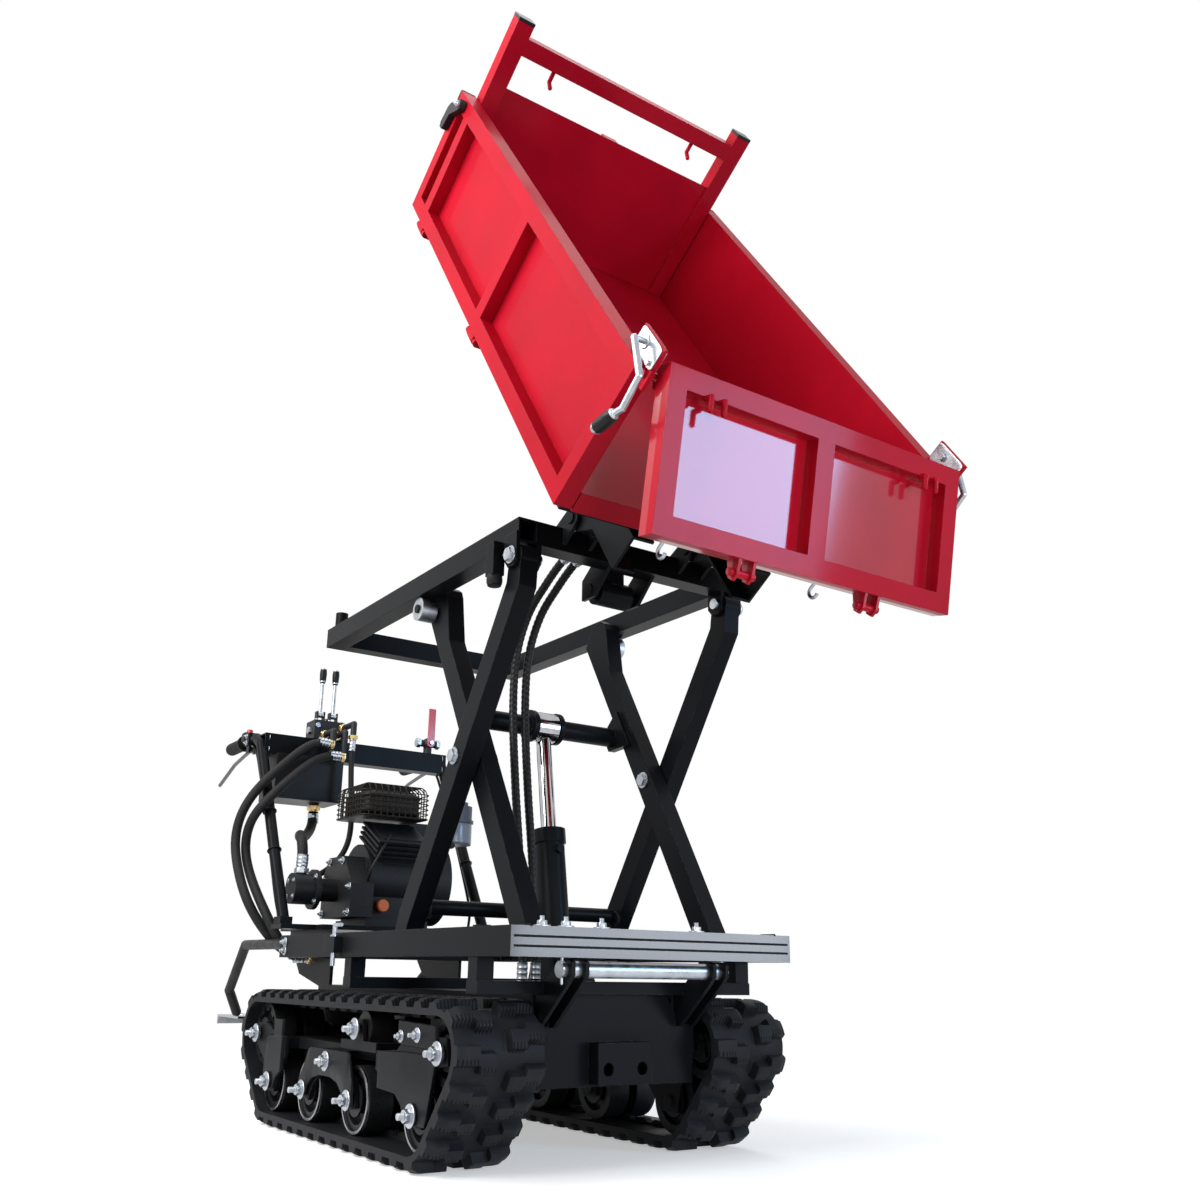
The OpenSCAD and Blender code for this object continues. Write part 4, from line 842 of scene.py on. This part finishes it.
for word, s in SIDES:
    start, stop = np.array((0.2585, s * 0.389, 0.3555)), np.array((0.2350, s * 0.389, 0.3110))
    share = np.linspace(0, 1, 15)
    swell = 0.0122 - 0.0022 * (2 * share - 1) ** 6
    sleeve = sweep(start + (stop - start) * share[:, None], swell, 24, (0, 1, 0))[0]
    piece("latch_sleeve_" + word, in_box(sleeve), "black_plastic", "front_latch_" + word)

# %% [markdown]
# ## Fittings and fasteners
# Hydraulic ports carry brass nuts, covers are held by bolts, and the oil tank has a blank label and a
# ribbed cap. All fasteners of one body become one object.

# %% Hydraulic fittings
PUMP_X, PUMP_Y, PUMP_Z = -0.552, -0.236, 0.545
STOP_Z = BEAM_TOP + 0.034


def pipe_nut(at, axis, flats, tall):
    """Union nut: a hexagon and a round collar that it clamps."""
    at, axis = np.array(at, float), np.array(axis, float)
    collar = [(0, 0), (flats * 0.42, 0), (flats * 0.42, 0.003), (flats * 0.36, 0.005), (0, 0.005)]
    return stack([hexagon(at, axis, flats, tall), revolve(collar, at + axis * tall, axis, 28)])


ports = [pipe_nut((BEAM_X + 0.0340, y, z), (1, 0, 0), 0.025, 0.012) for y, z in (
    (-0.084, 1.007), (-0.120, 1.007), (-0.064, 1.033))]
ports += [pipe_nut((-0.700, y, z), (0, -1, 0), 0.026, 0.010)
          for y, z in ((-0.0820, 0.935), (-0.1180, 0.968))]
ports += [pipe_nut((-0.688, -0.064, 0.998), (0, 0, -1), 0.024, 0.010)]
ports += [pipe_nut((BEAM_X, -0.120, 0.801), (0, 0, -1), 0.034, 0.014)]
ports += [pipe_nut((x, -0.1835, z), (0, -1, 0), 0.030, 0.011)
          for x, z in ((-0.570, 0.372), (-0.603, 0.380))]
ports += [pipe_nut((BEAM_X - 0.012, -0.104, BEAM_TOP + 0.055), (0, 0, 1), 0.020, 0.010)]
piece("brass_fittings", stack(ports), "brass_fitting", "chassis", "zinc_steel")
pump_nuts = [pipe_nut((PUMP_X, PUMP_Y, 0.586), (0, 0, 1), 0.034, 0.013),
             pipe_nut((-0.594, PUMP_Y, PUMP_Z), (-1, 0, 0), 0.032, 0.013)]
pump_nuts += [pipe_nut((0.4198, y, 0.310), (0, 0, 1), 0.027, 0.014) for y in LIFT_HOSE_Y]
piece("steel_fittings", stack(pump_nuts), "zinc_steel", "chassis")
deck_nuts = [pipe_nut((0.5675, y, 1.1745), (-1, 0, 0), 0.025, 0.010) for y in LIFT_HOSE_Y]
piece("deck_fittings", stack(deck_nuts), "zinc_steel", "deck")
stop_nuts = [hexagon((BEAM_X, 0.208, STOP_Z), (0, -1, 0), 0.026, 0.012),
             hexagon((BEAM_X, 0.262, STOP_Z), (0, 1, 0), 0.026, 0.012),
             hexagon((BEAM_X + 0.025, 0.236, STOP_Z), (1, 0, 0), 0.013, 0.006)]
piece("stop_valve_nuts", stack(stop_nuts), "zinc_steel", "chassis")

# %% Tank label and cap
label = slab((BEAM_X - 0.030, -0.2622, 0.870), (0.060, 0.0016, 0.072), 0.08)
piece("tank_label", label, "blank_label", "chassis", "black_plastic")
a = np.linspace(0, 2 * pi, 72, endpoint=False)
rim = 0.0215 + 0.0010 * np.sign(np.sin(18 * a))
cap_rows = [(rim * 0, 0.0), (rim, 0.0), (rim, 0.014), (rim * 0.9, 0.017), (rim * 0, 0.017)]
ring = np.stack([np.cos(a), np.sin(a), 0 * a], -1)
cap_at = np.array((BEAM_X - 0.049, -0.210, BEAM_LOW + 0.008))
cap = np.stack([cap_at + r[:, None] * ring + np.array((0, 0, h)) for r, h in cap_rows])
piece("tank_cap", grid(cap, columns_closed=True), "black_plastic", "chassis")

# %% Bolts
BASE_TOP = 0.4212
cover_bolts = [((x, -0.1402, z), (0, -1, 0), 0.011) for x, z in (
    (-0.630, 0.486), (-0.452, 0.486), (-0.452, 0.552), (-0.508, 0.622), (-0.596, 0.622), (-0.630, 0.574))]
beam_bolts = [((0.680, y, BASE_TOP), (0, 0, 1), 0.016) for y in (-0.249, -0.199, -0.122, 0.099)]
rail_bolts = [((-0.385, -0.3232, z), (0, -1, 0), 0.012) for z in (0.385, 0.405)]
clamp_bolts = [((-0.900, s * (BAR_Y + 0.0182), GRIP_Z + z), (0, s, 0), 0.008) for s in (1, -1)
               for z in (-0.010, 0.010)]
sets = cover_bolts + beam_bolts + rail_bolts + clamp_bolts
bolts = [bolt(at, axis, flats, flats * 0.5) for at, axis, flats in sets]
piece("chassis_bolts", stack(bolts), "zinc_steel", "chassis")
print("bolts:", len(bolts))

# %% [markdown]
# ## Welds and small hardware
# What makes a welded machine look welded is the bead: a small ridge with ripples like laid coins. It is a
# thin tube whose radius waves along its path. Bolts, plates and hooks finish the places where parts meet.

# %% Weld beads
def weld(points, radius=0.0035):
    """Bead along a path: radius times 1 + 0.16 sin(turns), with a turn each 4 mm, on a path cut into
    millimetres."""
    points = np.array(points, float)
    path, even = evenly(points, max(12, int(way_along(points)[-1] / 0.0010)))
    return sweep(path, radius * (1 + 0.16 * np.sin(2 * pi * even / 0.004)), 8, (0.31, 0.52, 0.79))[0]


def round_weld(middle, radius):
    """Circle about an axis along Y, as where a tube meets a plate."""
    a = np.linspace(0, 2 * pi, 49)
    return weld(np.array(middle) + radius * np.stack([np.cos(a), 0 * a, np.sin(a)], -1), 0.0030)


DECK_RAIL_Y, DECK_TOP, BASE_RAIL_Y = 0.241, 1.2055, 0.283
eye = joint_at["lift_rod_pivot"]
inner_welds = [round_weld((eye[0], s * y, eye[2]), 0.0225) for s in (1, -1)
               for y in (0.1965, 0.0395, 0.0285)]
piece("inner_arm_welds", stack(inner_welds), "black_paint", "inner")
outer_welds = [round_weld((0.2111, s * 0.2405, 0.4633), 0.0165) for s in (1, -1)]
piece("outer_arm_welds", stack(outer_welds), "black_paint", "outer")
deck_welds = [weld([(x, s * DECK_RAIL_Y, z) for z in (1.158, 1.203)]) for x in (-0.328, 0.567)
              for s in (1, -1)]
deck_welds += [weld([(x, s * y, DECK_TOP) for x in (0.574, 0.610)]) for y in (0.1125, 0.1735)
               for s in (1, -1)]
piece("deck_welds", stack(deck_welds), "black_paint", "deck")
base_welds = [weld([(x, s * BASE_RAIL_Y, z) for z in (0.371, 0.419)]) for x in (-0.380, 0.660)
              for s in (1, -1)]
base_welds += [weld([(x + along, s * BASE_RAIL_Y, BASE_TOP) for along in (0, 0.040)], 0.0025)
               for x in (-0.420, 0.660) for s in (1, -1)]
piece("base_welds", stack(base_welds), "frame_paint", "chassis")
print("welds:", sum(map(len, (inner_welds, outer_welds, deck_welds, base_welds))))

# %% Latch plates, studs and hooks of the box
def dome_nut(at, axis, flats):
    """Acorn nut: hexagon with half a ball on it."""
    at, axis = np.array(at, float), np.array(axis, float)
    t = np.linspace(0, pi / 2, 7)
    ball = [(flats * 0.44 * cos(v), flats * 0.44 * sin(v)) for v in t]
    return stack([hexagon(at, axis, flats, flats * 0.45),
                  revolve([(0, 0)] + ball, at + axis * flats * 0.44, axis, 24)])


for word, s in SIDES:
    latch = [slab((0.208, s * y, 0.4590), (0.084, 0.0030, 0.042), 0.25) for y in (0.3655, 0.3555)]
    latch += [washer((0.196, s * 0.3668, 0.463), (0, s, 0), 0.0125, 0.0025)]
    latch += [hexagon((0.196, s * 0.3542, 0.463), (0, -s, 0), 0.015, 0.008)]
    latch += [bolt((x, s * 0.3668, 0.446), (0, s, 0), 0.008) for x in (0.176, 0.236)]
    latch += [dome_nut((BOX_REAR + 0.060, s * 0.3945, BOARD_TOP - 0.018), (0, s, 0), 0.014)]
    piece("latch_plates_" + word, stack([in_box(part) for part in latch]), "zinc_steel", "board_" + word)

bend = np.linspace(0, 1.15 * pi, 15)
crook = np.stack([0.012 - 0.012 * np.cos(bend), 0 * bend, -0.034 - 0.012 * np.sin(bend)], -1)
hook_path = np.vstack([[(0, 0, 0.002)], [(0, 0, -0.018)], crook])
hook_paths = [smooth_route(hook_path + np.array((BOX_FRONT - 0.016, y, BOX_Z)), 4) for y in (-0.120, 0.270)]
hooks = [in_box(sweep(path, 0.0038, 12, (0, 1, 0))[0]) for path in hook_paths]
piece("rope_hooks", stack(hooks), "zinc_steel", "box")

# %% [markdown]
# ## Covers over the running gear
# Pressed steel saddles hide the upper half of the rollers. Each is a sheet between a lower and an upper
# edge line, with its rim turned in. The nuts of the axles stand out in front of them with a stub of thread.

# %% Saddles, nuts and roller rims
def saddle(lower, upper, side, outer=0.3672, inner=0.3604):
    """Sheet between two edge lines in x and z: rows run from the lower to the upper one, the rim falls back
    by a quarter circle, and the back closes it."""
    x = np.linspace(max(lower[0][0], upper[0][0]), min(lower[-1][0], upper[-1][0]), 61)
    bottom = np.interp(x, *np.array(lower, float).T)
    top = np.interp(x, *np.array(upper, float).T)
    v = np.array([0, 0.015, 0.04, 0.5, 0.96, 0.985, 1.0])[:, None]
    from_rim = np.minimum(np.minimum(v, 1 - v) / 0.04, np.minimum(x - x[0], x[-1] - x)[None] / 0.006)
    fall = 1 - np.sqrt(np.clip(1 - (1 - np.clip(from_rim, 0, 1)) ** 2, 0, 1))
    z = bottom + v * (top - bottom)
    front = np.stack([np.broadcast_to(x, z.shape), side * (outer - (outer - inner) * fall), z], -1)
    back = np.stack([np.broadcast_to(x, z.shape), np.full(z.shape, side * inner), z], -1)[::-1]
    return grid(np.concatenate([front, back]), rows_closed=True)


ARCH = [(-0.108, 0.084), (-0.066, 0.084), (-0.058, 0.104), (-0.030, 0.122), (0.010, 0.130), (0.066, 0.130),
        (0.104, 0.122), (0.130, 0.104), (0.138, 0.084), (0.184, 0.084)]
ARCH_TOP = [(-0.108, 0.112), (-0.078, 0.150), (-0.060, 0.180), (-0.050, 0.184), (0.150, 0.184),
            (0.160, 0.178), (0.184, 0.120)]
FRONT_LOW = [(0.290, 0.128), (0.372, 0.124), (0.402, 0.104), (0.418, 0.078), (0.500, 0.078), (0.512, 0.120),
             (0.530, 0.190)]
FRONT_TOP = [(0.290, 0.186), (0.298, 0.196), (0.400, 0.200), (0.520, 0.200), (0.530, 0.196)]
REAR_LOW = [(-0.342, 0.080), (-0.270, 0.080), (-0.256, 0.104), (-0.226, 0.122)]
REAR_TOP = [(-0.342, 0.116), (-0.326, 0.190), (-0.318, 0.196), (-0.234, 0.196), (-0.226, 0.190)]
PAD_LOW, PAD_TOP = [(-0.296, 0.190), (-0.236, 0.190)], [(-0.296, 0.232), (-0.236, 0.232)]
COVER_Y, BOGIE_Y, AXLE_Y, RIM_Y = 0.3655, 0.3688, 0.3700, 0.3510
ROLLER_RIM = [(0.0580, 0.0), (0.0640, 0.0), (0.0646, -0.003), (0.0636, 0.0012), (0.0590, 0.0012)]
THREADS = [*WHEELS[:, :2], (0.180, 0.230)]
BELT_PAD_LOW, BELT_PAD_TOP = [(0.368, 0.212), (0.528, 0.208)], [(0.368, 0.254), (0.528, 0.250)]
for word, s in SIDES:
    piece("bogie_saddle_" + word, saddle(ARCH, ARCH_TOP, s, 0.3692, 0.3652), "black_paint", "bogie_" + word,
          "frame_paint")
    fixed = [saddle(FRONT_LOW, FRONT_TOP, s), saddle(REAR_LOW, REAR_TOP, s)]
    fixed += [saddle(PAD_LOW, PAD_TOP, s, COVER_Y), saddle(BELT_PAD_LOW, BELT_PAD_TOP, s, 0.3660)]
    piece("track_covers_" + word, stack(fixed), "black_paint", "chassis", "frame_paint")
    nuts = [bolt((x, s * BOGIE_Y, 0.095), (0, s, 0), 0.021, 0.016) for x in (-0.084, 0.160)]
    nuts += [bolt((0.038, s * BOGIE_Y, 0.160), (0, s, 0), 0.021, 0.010)]
    piece("bogie_nuts_" + word, stack(nuts), "zinc_steel", "bogie_" + word)
    nuts = [bolt((x, s * AXLE_Y, z), (0, s, 0), 0.022, 0.012) for x, z in THREADS]
    nuts += [bolt((0.452, s * COVER_Y, 0.231), (0, s, 0), 0.014, 0.010)]
    nuts += [bolt((0.384, s * COVER_Y, 0.226), (0, s, 0), 0.012, 0.006)]
    piece("axle_nuts_" + word, stack(nuts), "zinc_steel", "chassis")
    for pattern in ("front_roller_%s", "rear_roller_%s", "bogie_roller_%s_front", "bogie_roller_%s_rear"):
        name = pattern % word
        x, _, z = joint_at[name + "_spin"]
        rim = revolve(ROLLER_RIM, (x, s * RIM_Y, z), (0, s, 0), 56)
        piece(name + "_rim", rim, "worn_steel", name, "zinc_steel")
print("covers and rims ready")

# %% Undercarriage, handle and pump hardware
small = [bolt((x, s * 0.2768, z), (0, s, 0), 0.011) for x, z in ((-0.792, 0.948), (-0.792, 0.982))
         for s in (1, -1)]
quarter = np.array([0.25, 0.75, 1.25, 1.75]) * pi
small += [bolt((PUMP_X + 0.0445 * cos(q), -0.2058, PUMP_Z + 0.0445 * sin(q)), (0, -1, 0), 0.009)
          for q in quarter]
small += [bolt((PUMP_X + 0.0290 * cos(q), -0.2618, PUMP_Z + 0.0290 * sin(q)), (0, -1, 0), 0.007)
          for q in quarter]
small += [bolt((BEAM_X + x, y, BEAM_TOP + 0.0558), (0, 0, 1), 0.007) for x in (-0.025, 0.025)
          for y in (-0.143, -0.104, -0.065)]
small += [hexagon((BEAM_X, y, 1.022), (0, n, 0), 0.020, 0.008) for y, n in ((-0.1498, -1), (-0.0582, 1))]
small += [hexagon((BEAM_X + 0.0338, -0.141, 1.034), (1, 0, 0), 0.014, 0.006)]
piece("small_hardware", stack(small), "zinc_steel", "chassis")
print("small hardware:", len(small))

# %% Straps round the legs of the handlebar
low, high = np.array((-0.618, BAR_Y, 0.640)), np.array((-0.815, BAR_Y, 0.965))
up_bar = (high - low) / np.linalg.norm(high - low)
out_bar = np.cross(up_bar, (0, 1, 0))
out_bar *= -np.sign(out_bar[0])
a = np.linspace(0, 2 * pi, 41)
straps = []
for share in (0.02, 0.36):
    middle = low + share * (high - low)
    loop = middle + 0.0172 * (np.cos(a)[:, None] * out_bar + np.sin(a)[:, None] * np.array((0, 1, 0)))
    for s in (1, -1):
        straps.append(sweep(loop * np.array((1, s, 1)), 0.0020, 10, tuple(up_bar))[0])
piece("cable_straps", stack(straps), "black_plastic", "chassis")

# %% Raised rims of the treadplate
def rim_ring(at):
    """Pressed collar round a hole: a closed profile turned about Z."""
    rows = np.array([(0.0090, 0.0), (0.0135, 0.0), (0.0124, 0.0022), (0.0106, 0.0030), (0.0093, 0.0026)])
    turn = np.linspace(0, 2 * pi, 24, endpoint=False)
    ring = np.stack([np.cos(turn), np.sin(turn), 0 * turn], -1)
    up = np.array((0, 0, 1.0))
    return grid(np.array(at) + rows[:, :1, None] * ring + rows[:, 1:, None] * up, True, True)


rims = [rim_ring((x, y, 0.2119)) for x in np.arange(-1.060, -0.939, 0.040)
        for y in np.arange(-0.200, 0.201, 0.050)]
piece("tread_rims", stack(rims), "tread_metal", "chassis", "zinc_steel")
print("treadplate rims:", len(rims))

# %% [markdown]
# ## Wire cage round the muffler
# The guard is a basket of bent wire, welded where the wires cross, and the CAD has it as a pierced box.
# Here each wire is a thin tube. Hoops lie flat one above the other, and bows run up one side, over the top
# and down the other.

# %% Muffler cage
CAGE_LOW, CAGE_HIGH = (np.array(corner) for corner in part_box("muffler_guard"))
CAGE_MID, CAGE_HALF = (CAGE_LOW + CAGE_HIGH) / 2, (CAGE_HIGH - CAGE_LOW) / 2
WIRE, CAGE_CORNER = 0.0016, 0.022


def hoop(z):
    """Rounded rectangle: sign of (cos, sin) times the core's half sides, plus the corner's radius times
    (cos, sin)."""
    a = np.linspace(0.02, 2 * pi + 0.02, 73)
    ring = np.stack([np.cos(a), np.sin(a)], 1)
    flat = np.sign(ring) * (CAGE_HALF[:2] - WIRE - CAGE_CORNER) + CAGE_CORNER * ring
    return np.column_stack([CAGE_MID[:2] + flat, np.full(len(a), z)])


def bow(axis, place):
    """Half of a rounded rectangle that stands up, with two straight feet, at one place across the other
    axis."""
    half, top = CAGE_HALF[axis] - 3 * WIRE, CAGE_HIGH[2] - WIRE
    a = np.linspace(pi - 0.001, 0.001, 26)
    run = np.sign(np.cos(a)) * (half - CAGE_CORNER) + CAGE_CORNER * np.cos(a)
    rise = top - CAGE_CORNER + CAGE_CORNER * np.sin(a)
    run, rise = np.r_[-half, run, half], np.r_[CAGE_LOW[2], rise, CAGE_LOW[2]]
    points = np.empty((len(run), 3))
    points[:, axis], points[:, 1 - axis], points[:, 2] = CAGE_MID[axis] + run, place, rise
    return points


wires = [sweep(hoop(z), WIRE, 6, (0, 0, 1))[0]
         for z in np.linspace(CAGE_LOW[2] + WIRE, CAGE_HIGH[2] - CAGE_CORNER, 6)]
for axis in (0, 1):
    across = 1 - axis
    room = CAGE_HALF[across] - CAGE_CORNER
    side_on = (0, 1, 0) if axis == 0 else (1, 0, 0)
    wires += [sweep(bow(axis, CAGE_MID[across] + k * room), WIRE, 6, side_on)[0]
              for k in np.linspace(-1, 1, 10)]
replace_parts(piece("muffler_cage", stack(wires), "guard_steel", "chassis", "frame_paint"), "muffler_guard")
print(len(wires), "wires in the muffler cage")

# %% Muffler inside the cage
def muffler_shell(mid, half):
    """Superellipsoid: each of cos and sin goes to the power 0.35 with its sign kept, so that it is a soft
    box. Its sides draw in by 4% in pressed grooves, 15 mm apart up the shell."""
    u, v = np.meshgrid(np.linspace(0, 2 * pi, 72, endpoint=False), np.linspace(-pi / 2, pi / 2, 41))
    soft = lambda value: np.sign(value) * np.abs(value) ** 0.35
    z = half[2] * soft(np.sin(v))
    groove = 1 - 0.04 * (0.5 + 0.5 * np.cos(2 * pi * z / 0.015)) ** 3
    ring = soft(np.cos(v)) * groove
    shell = np.stack([half[0] * ring * soft(np.cos(u)), half[1] * ring * soft(np.sin(u)), z], -1)
    return grid(np.array(mid) + shell, columns_closed=True)


muffler = muffler_shell(CAGE_MID - np.array((0, 0, 0.008)), CAGE_HALF - np.array((0.014, 0.014, 0.008)))
tray = slab((*CAGE_MID[:2], CAGE_LOW[2] + 0.001), (*(2 * CAGE_HALF[:2] - 0.004), 0.005))
piece("muffler_body", stack([muffler, tray]), "guard_steel", "chassis", "frame_paint", 40)

# %% [markdown]
# ## Engine dressing
# The engine is a small four-stroke. Its CAD has the block, shroud, fins and caged muffler. The plug lead,
# filler cap, filter bowl and stop switch are added here.

# %% Engine and filter pieces
SWITCH_X = -0.934
filler = [(0, 0), (0.013, 0), (0.013, 0.006), (0.017, 0.008), (0.017, 0.020), (0.014, 0.024), (0, 0.024)]
piece("oil_filler_cap", revolve(filler, (-0.474, -0.040, 0.506), (1, 0, 0), 28), "orange_cap", "chassis",
      "engine_alloy")
lead_path = smooth_route([(-0.470, -0.030, 0.690), (-0.450, -0.034, 0.692), (-0.428, -0.060, 0.660),
                          (-0.430, -0.090, 0.600), (-0.448, -0.092, 0.566)])
piece("plug_lead", sweep(lead_path, 0.0035, 12)[0], "black_plastic", "chassis", "hose_rubber", 60)
boot = [(0, 0), (0.009, 0), (0.010, 0.010), (0.007, 0.030), (0.005, 0.034), (0, 0.034)]
piece("plug_boot", revolve(boot, (-0.490, -0.030, 0.688), (1, 0, 0.1), 24), "black_plastic", "chassis")
bowl = [(0, 0.695), (0.0525, 0.695), (0.0530, 0.700), (0.0530, 0.748), (0.0525, 0.750), (0, 0.750)]
piece("filter_bowl", revolve(bowl, (-0.548, 0.205, 0), (0, 0, 1), 48), "clear_bowl", "chassis",
      "grey_plastic")
switch = slab((SWITCH_X, -BAR_Y, GRIP_Z + 0.012), (0.034, 0.040, 0.030), 0.3)
piece("switch_box", switch, "black_plastic", "chassis")
button = [(0, 0), (0.009, 0), (0.009, 0.008), (0.007, 0.011), (0, 0.012)]
button = revolve(button, (SWITCH_X, -BAR_Y, GRIP_Z + 0.026), (0, 0, 1), 24)
piece("stop_button", button, "red_lever", "chassis")

# %% Pull starter on the far side
CRANK = np.array((-0.552, 0.0, 0.580))
vanes = [turned(slab((0.094, 0.1512, 0.0), (0.032, 0.005, 0.0075), 0.3), CRANK, k * pi / 11)
         for k in range(22)]
cover = [(0, 0), (0.044, 0), (0.046, 0.003), (0.040, 0.006), (0.018, 0.008), (0.016, 0.005), (0, 0.005)]
vanes.append(revolve(cover, CRANK + np.array((0, 0.1715, 0)), (0, 1, 0), 40))
piece("starter_cover", stack(vanes), "black_plastic", "chassis")
root, lean = np.array((-0.4686, 0.121, 0.6634)), np.array((0.7071, 0.0, 0.7071))
collar = [(0, -0.004), (0.013, -0.004), (0.013, 0.004), (0.009, 0.008), (0.007, 0.016), (0, 0.016)]
pull = [(0, 0), (0.007, 0.001), (0.0105, 0.008), (0.0092, 0.025), (0.0110, 0.040), (0.0092, 0.055),
        (0.0105, 0.072), (0.007, 0.079), (0, 0.080)]
handle = revolve(pull, root + lean * 0.022 - np.array((0, 0.040, 0)), (0, 1, 0), 24)
piece("starter_handle", stack([revolve(collar, root, lean, 24), handle]), "black_plastic", "chassis")
starter_spots = [CRANK + np.array((0.111 * cos(q), 0.1500, 0.111 * sin(q))) for q in quarter + pi / 22]
starter_bolts = [bolt(at, (0, 1, 0), 0.008) for at in starter_spots]
piece("starter_bolts", stack(starter_bolts), "zinc_steel", "chassis")

# %% [markdown]
# ## Studio
# The photograph is a cut-out on white. A pale floor takes the shadow, and the world is white to the camera
# and grey to the machine. A softbox ahead and to the left makes the gloss on the gate, another lights the
# near side.

# %% Floor, world and lights
WORLD_FILL, FLOOR_HALF, FLOOR_GLOW, FADE_FROM, FADE_TO = 0.24, 9.0, 0.42, 1.0, 1.9


def add_light(name, at, target, size, watts, colour):
    """Rectangular lamp that looks at a target."""
    data = bpy.data.lights.new(name, "AREA")
    data.shape, data.size, data.size_y, data.energy, data.color = "RECTANGLE", *size, watts, colour
    lamp = bpy.data.objects.new(name, data)
    lamp.location = at
    lamp.rotation_euler = (Vector(target) - Vector(at)).to_track_quat("-Z", "Y").to_euler()
    scene.collection.objects.link(lamp)


add_light("glare_box", (4.57, 2.45, 1.72), (1.13, -0.18, 1.15), (1.12, 1.02), 56, (0.30, 0.62, 1.0))
add_light("low_strip", (4.2, 2.65, 0.52), (0.70, 0.0, 0.40), (1.6, 0.35), 18, (0.80, 0.88, 1.0))
add_light("front_fill", (3.6, -0.2, 0.55), (0.50, 0.0, 1.20), (1.6, 1.0), 42, (0.88, 0.94, 1.0))
add_light("near_box", (-0.6, -2.6, 3.0), (0.45, -0.35, 1.80), (1.6, 1.6), 70, (1.0, 0.99, 0.97))
add_light("side_box", (0.9, -3.3, 2.5), (0.60, 0.0, 1.70), (1.8, 1.8), 106, (1.0, 0.99, 0.97))
add_light("top_box", (-0.2, 0.0, 5.0), (0.0, 0.0, 0.0), (4.0, 3.0), 80, (1.0, 1.0, 1.0))

world = bpy.data.worlds.new("studio")
scene.world = world
world.use_nodes = True
tree = world.node_tree
rays = tree.nodes.new("ShaderNodeLightPath").outputs


def larger(first, second):
    """The larger of two sockets of the world."""
    most = tree.nodes.new("ShaderNodeMath")
    most.operation = "MAXIMUM"
    tree.links.new(first, most.inputs[0])
    tree.links.new(second, most.inputs[1])
    return most.outputs[0]


backdrop = larger(rays["Is Camera Ray"], larger(rays["Is Glossy Ray"], rays["Is Transmission Ray"]))
seen = tree.nodes.new("ShaderNodeMix")
seen.data_type = "FLOAT"
seen.inputs[2].default_value, seen.inputs[3].default_value = WORLD_FILL, 1.0
tree.links.new(backdrop, seen.inputs[0])
tree.links.new(seen.outputs[0], tree.nodes["Background"].inputs["Strength"])
tree.nodes["Background"].inputs["Color"].default_value = (1, 1, 1, 1)

edge = np.linspace(-FLOOR_HALF, FLOOR_HALF, 3)
floor_points = np.stack([*np.meshgrid(edge, edge, indexing="ij"), np.zeros((3, 3))], -1)
points, faces = grid(floor_points)
floor_mesh = bpy.data.meshes.new("floor")
floor_mesh.from_pydata(points.tolist(), [], faces[:, ::-1].tolist())
floor = bpy.data.objects.new("floor", floor_mesh)
scene.collection.objects.link(floor)
pale = Finish("pale_floor", (0.86, 0.86, 0.87), 0.9)
plain = Field(pale, pale.shader.outputs[0])
glow = pale.node("ShaderNodeEmission", {}, {"Strength": FLOOR_GLOW})
lit = pale.node("ShaderNodeAddShader", {}, {0: plain, 1: glow})
rays_to = pale.node("ShaderNodeLightPath", out="Is Camera Ray")
mirror_rays = Field(pale, rays_to.socket.node.outputs["Is Glossy Ray"])
through_rays = Field(pale, rays_to.socket.node.outputs["Is Transmission Ray"])
shown = pale.node("ShaderNodeMixShader", {},
                  {0: (rays_to + mirror_rays + through_rays).over(0.0, 1.0), 1: plain, 2: lit})
reach = pale.node("ShaderNodeVectorMath", {"operation": "LENGTH"}, {0: pale.place()}, out="Value")
clear = pale.node("ShaderNodeBsdfTransparent")
faded = pale.node("ShaderNodeMixShader", {}, {0: reach.over(FADE_FROM, FADE_TO), 1: shown, 2: clear})
pale.tree.links.new(faded.socket, pale.tree.nodes["Material Output"].inputs["Surface"])
floor.data.materials.append(pale.material)
scene.view_settings.view_transform = "Standard"
print("studio ready")
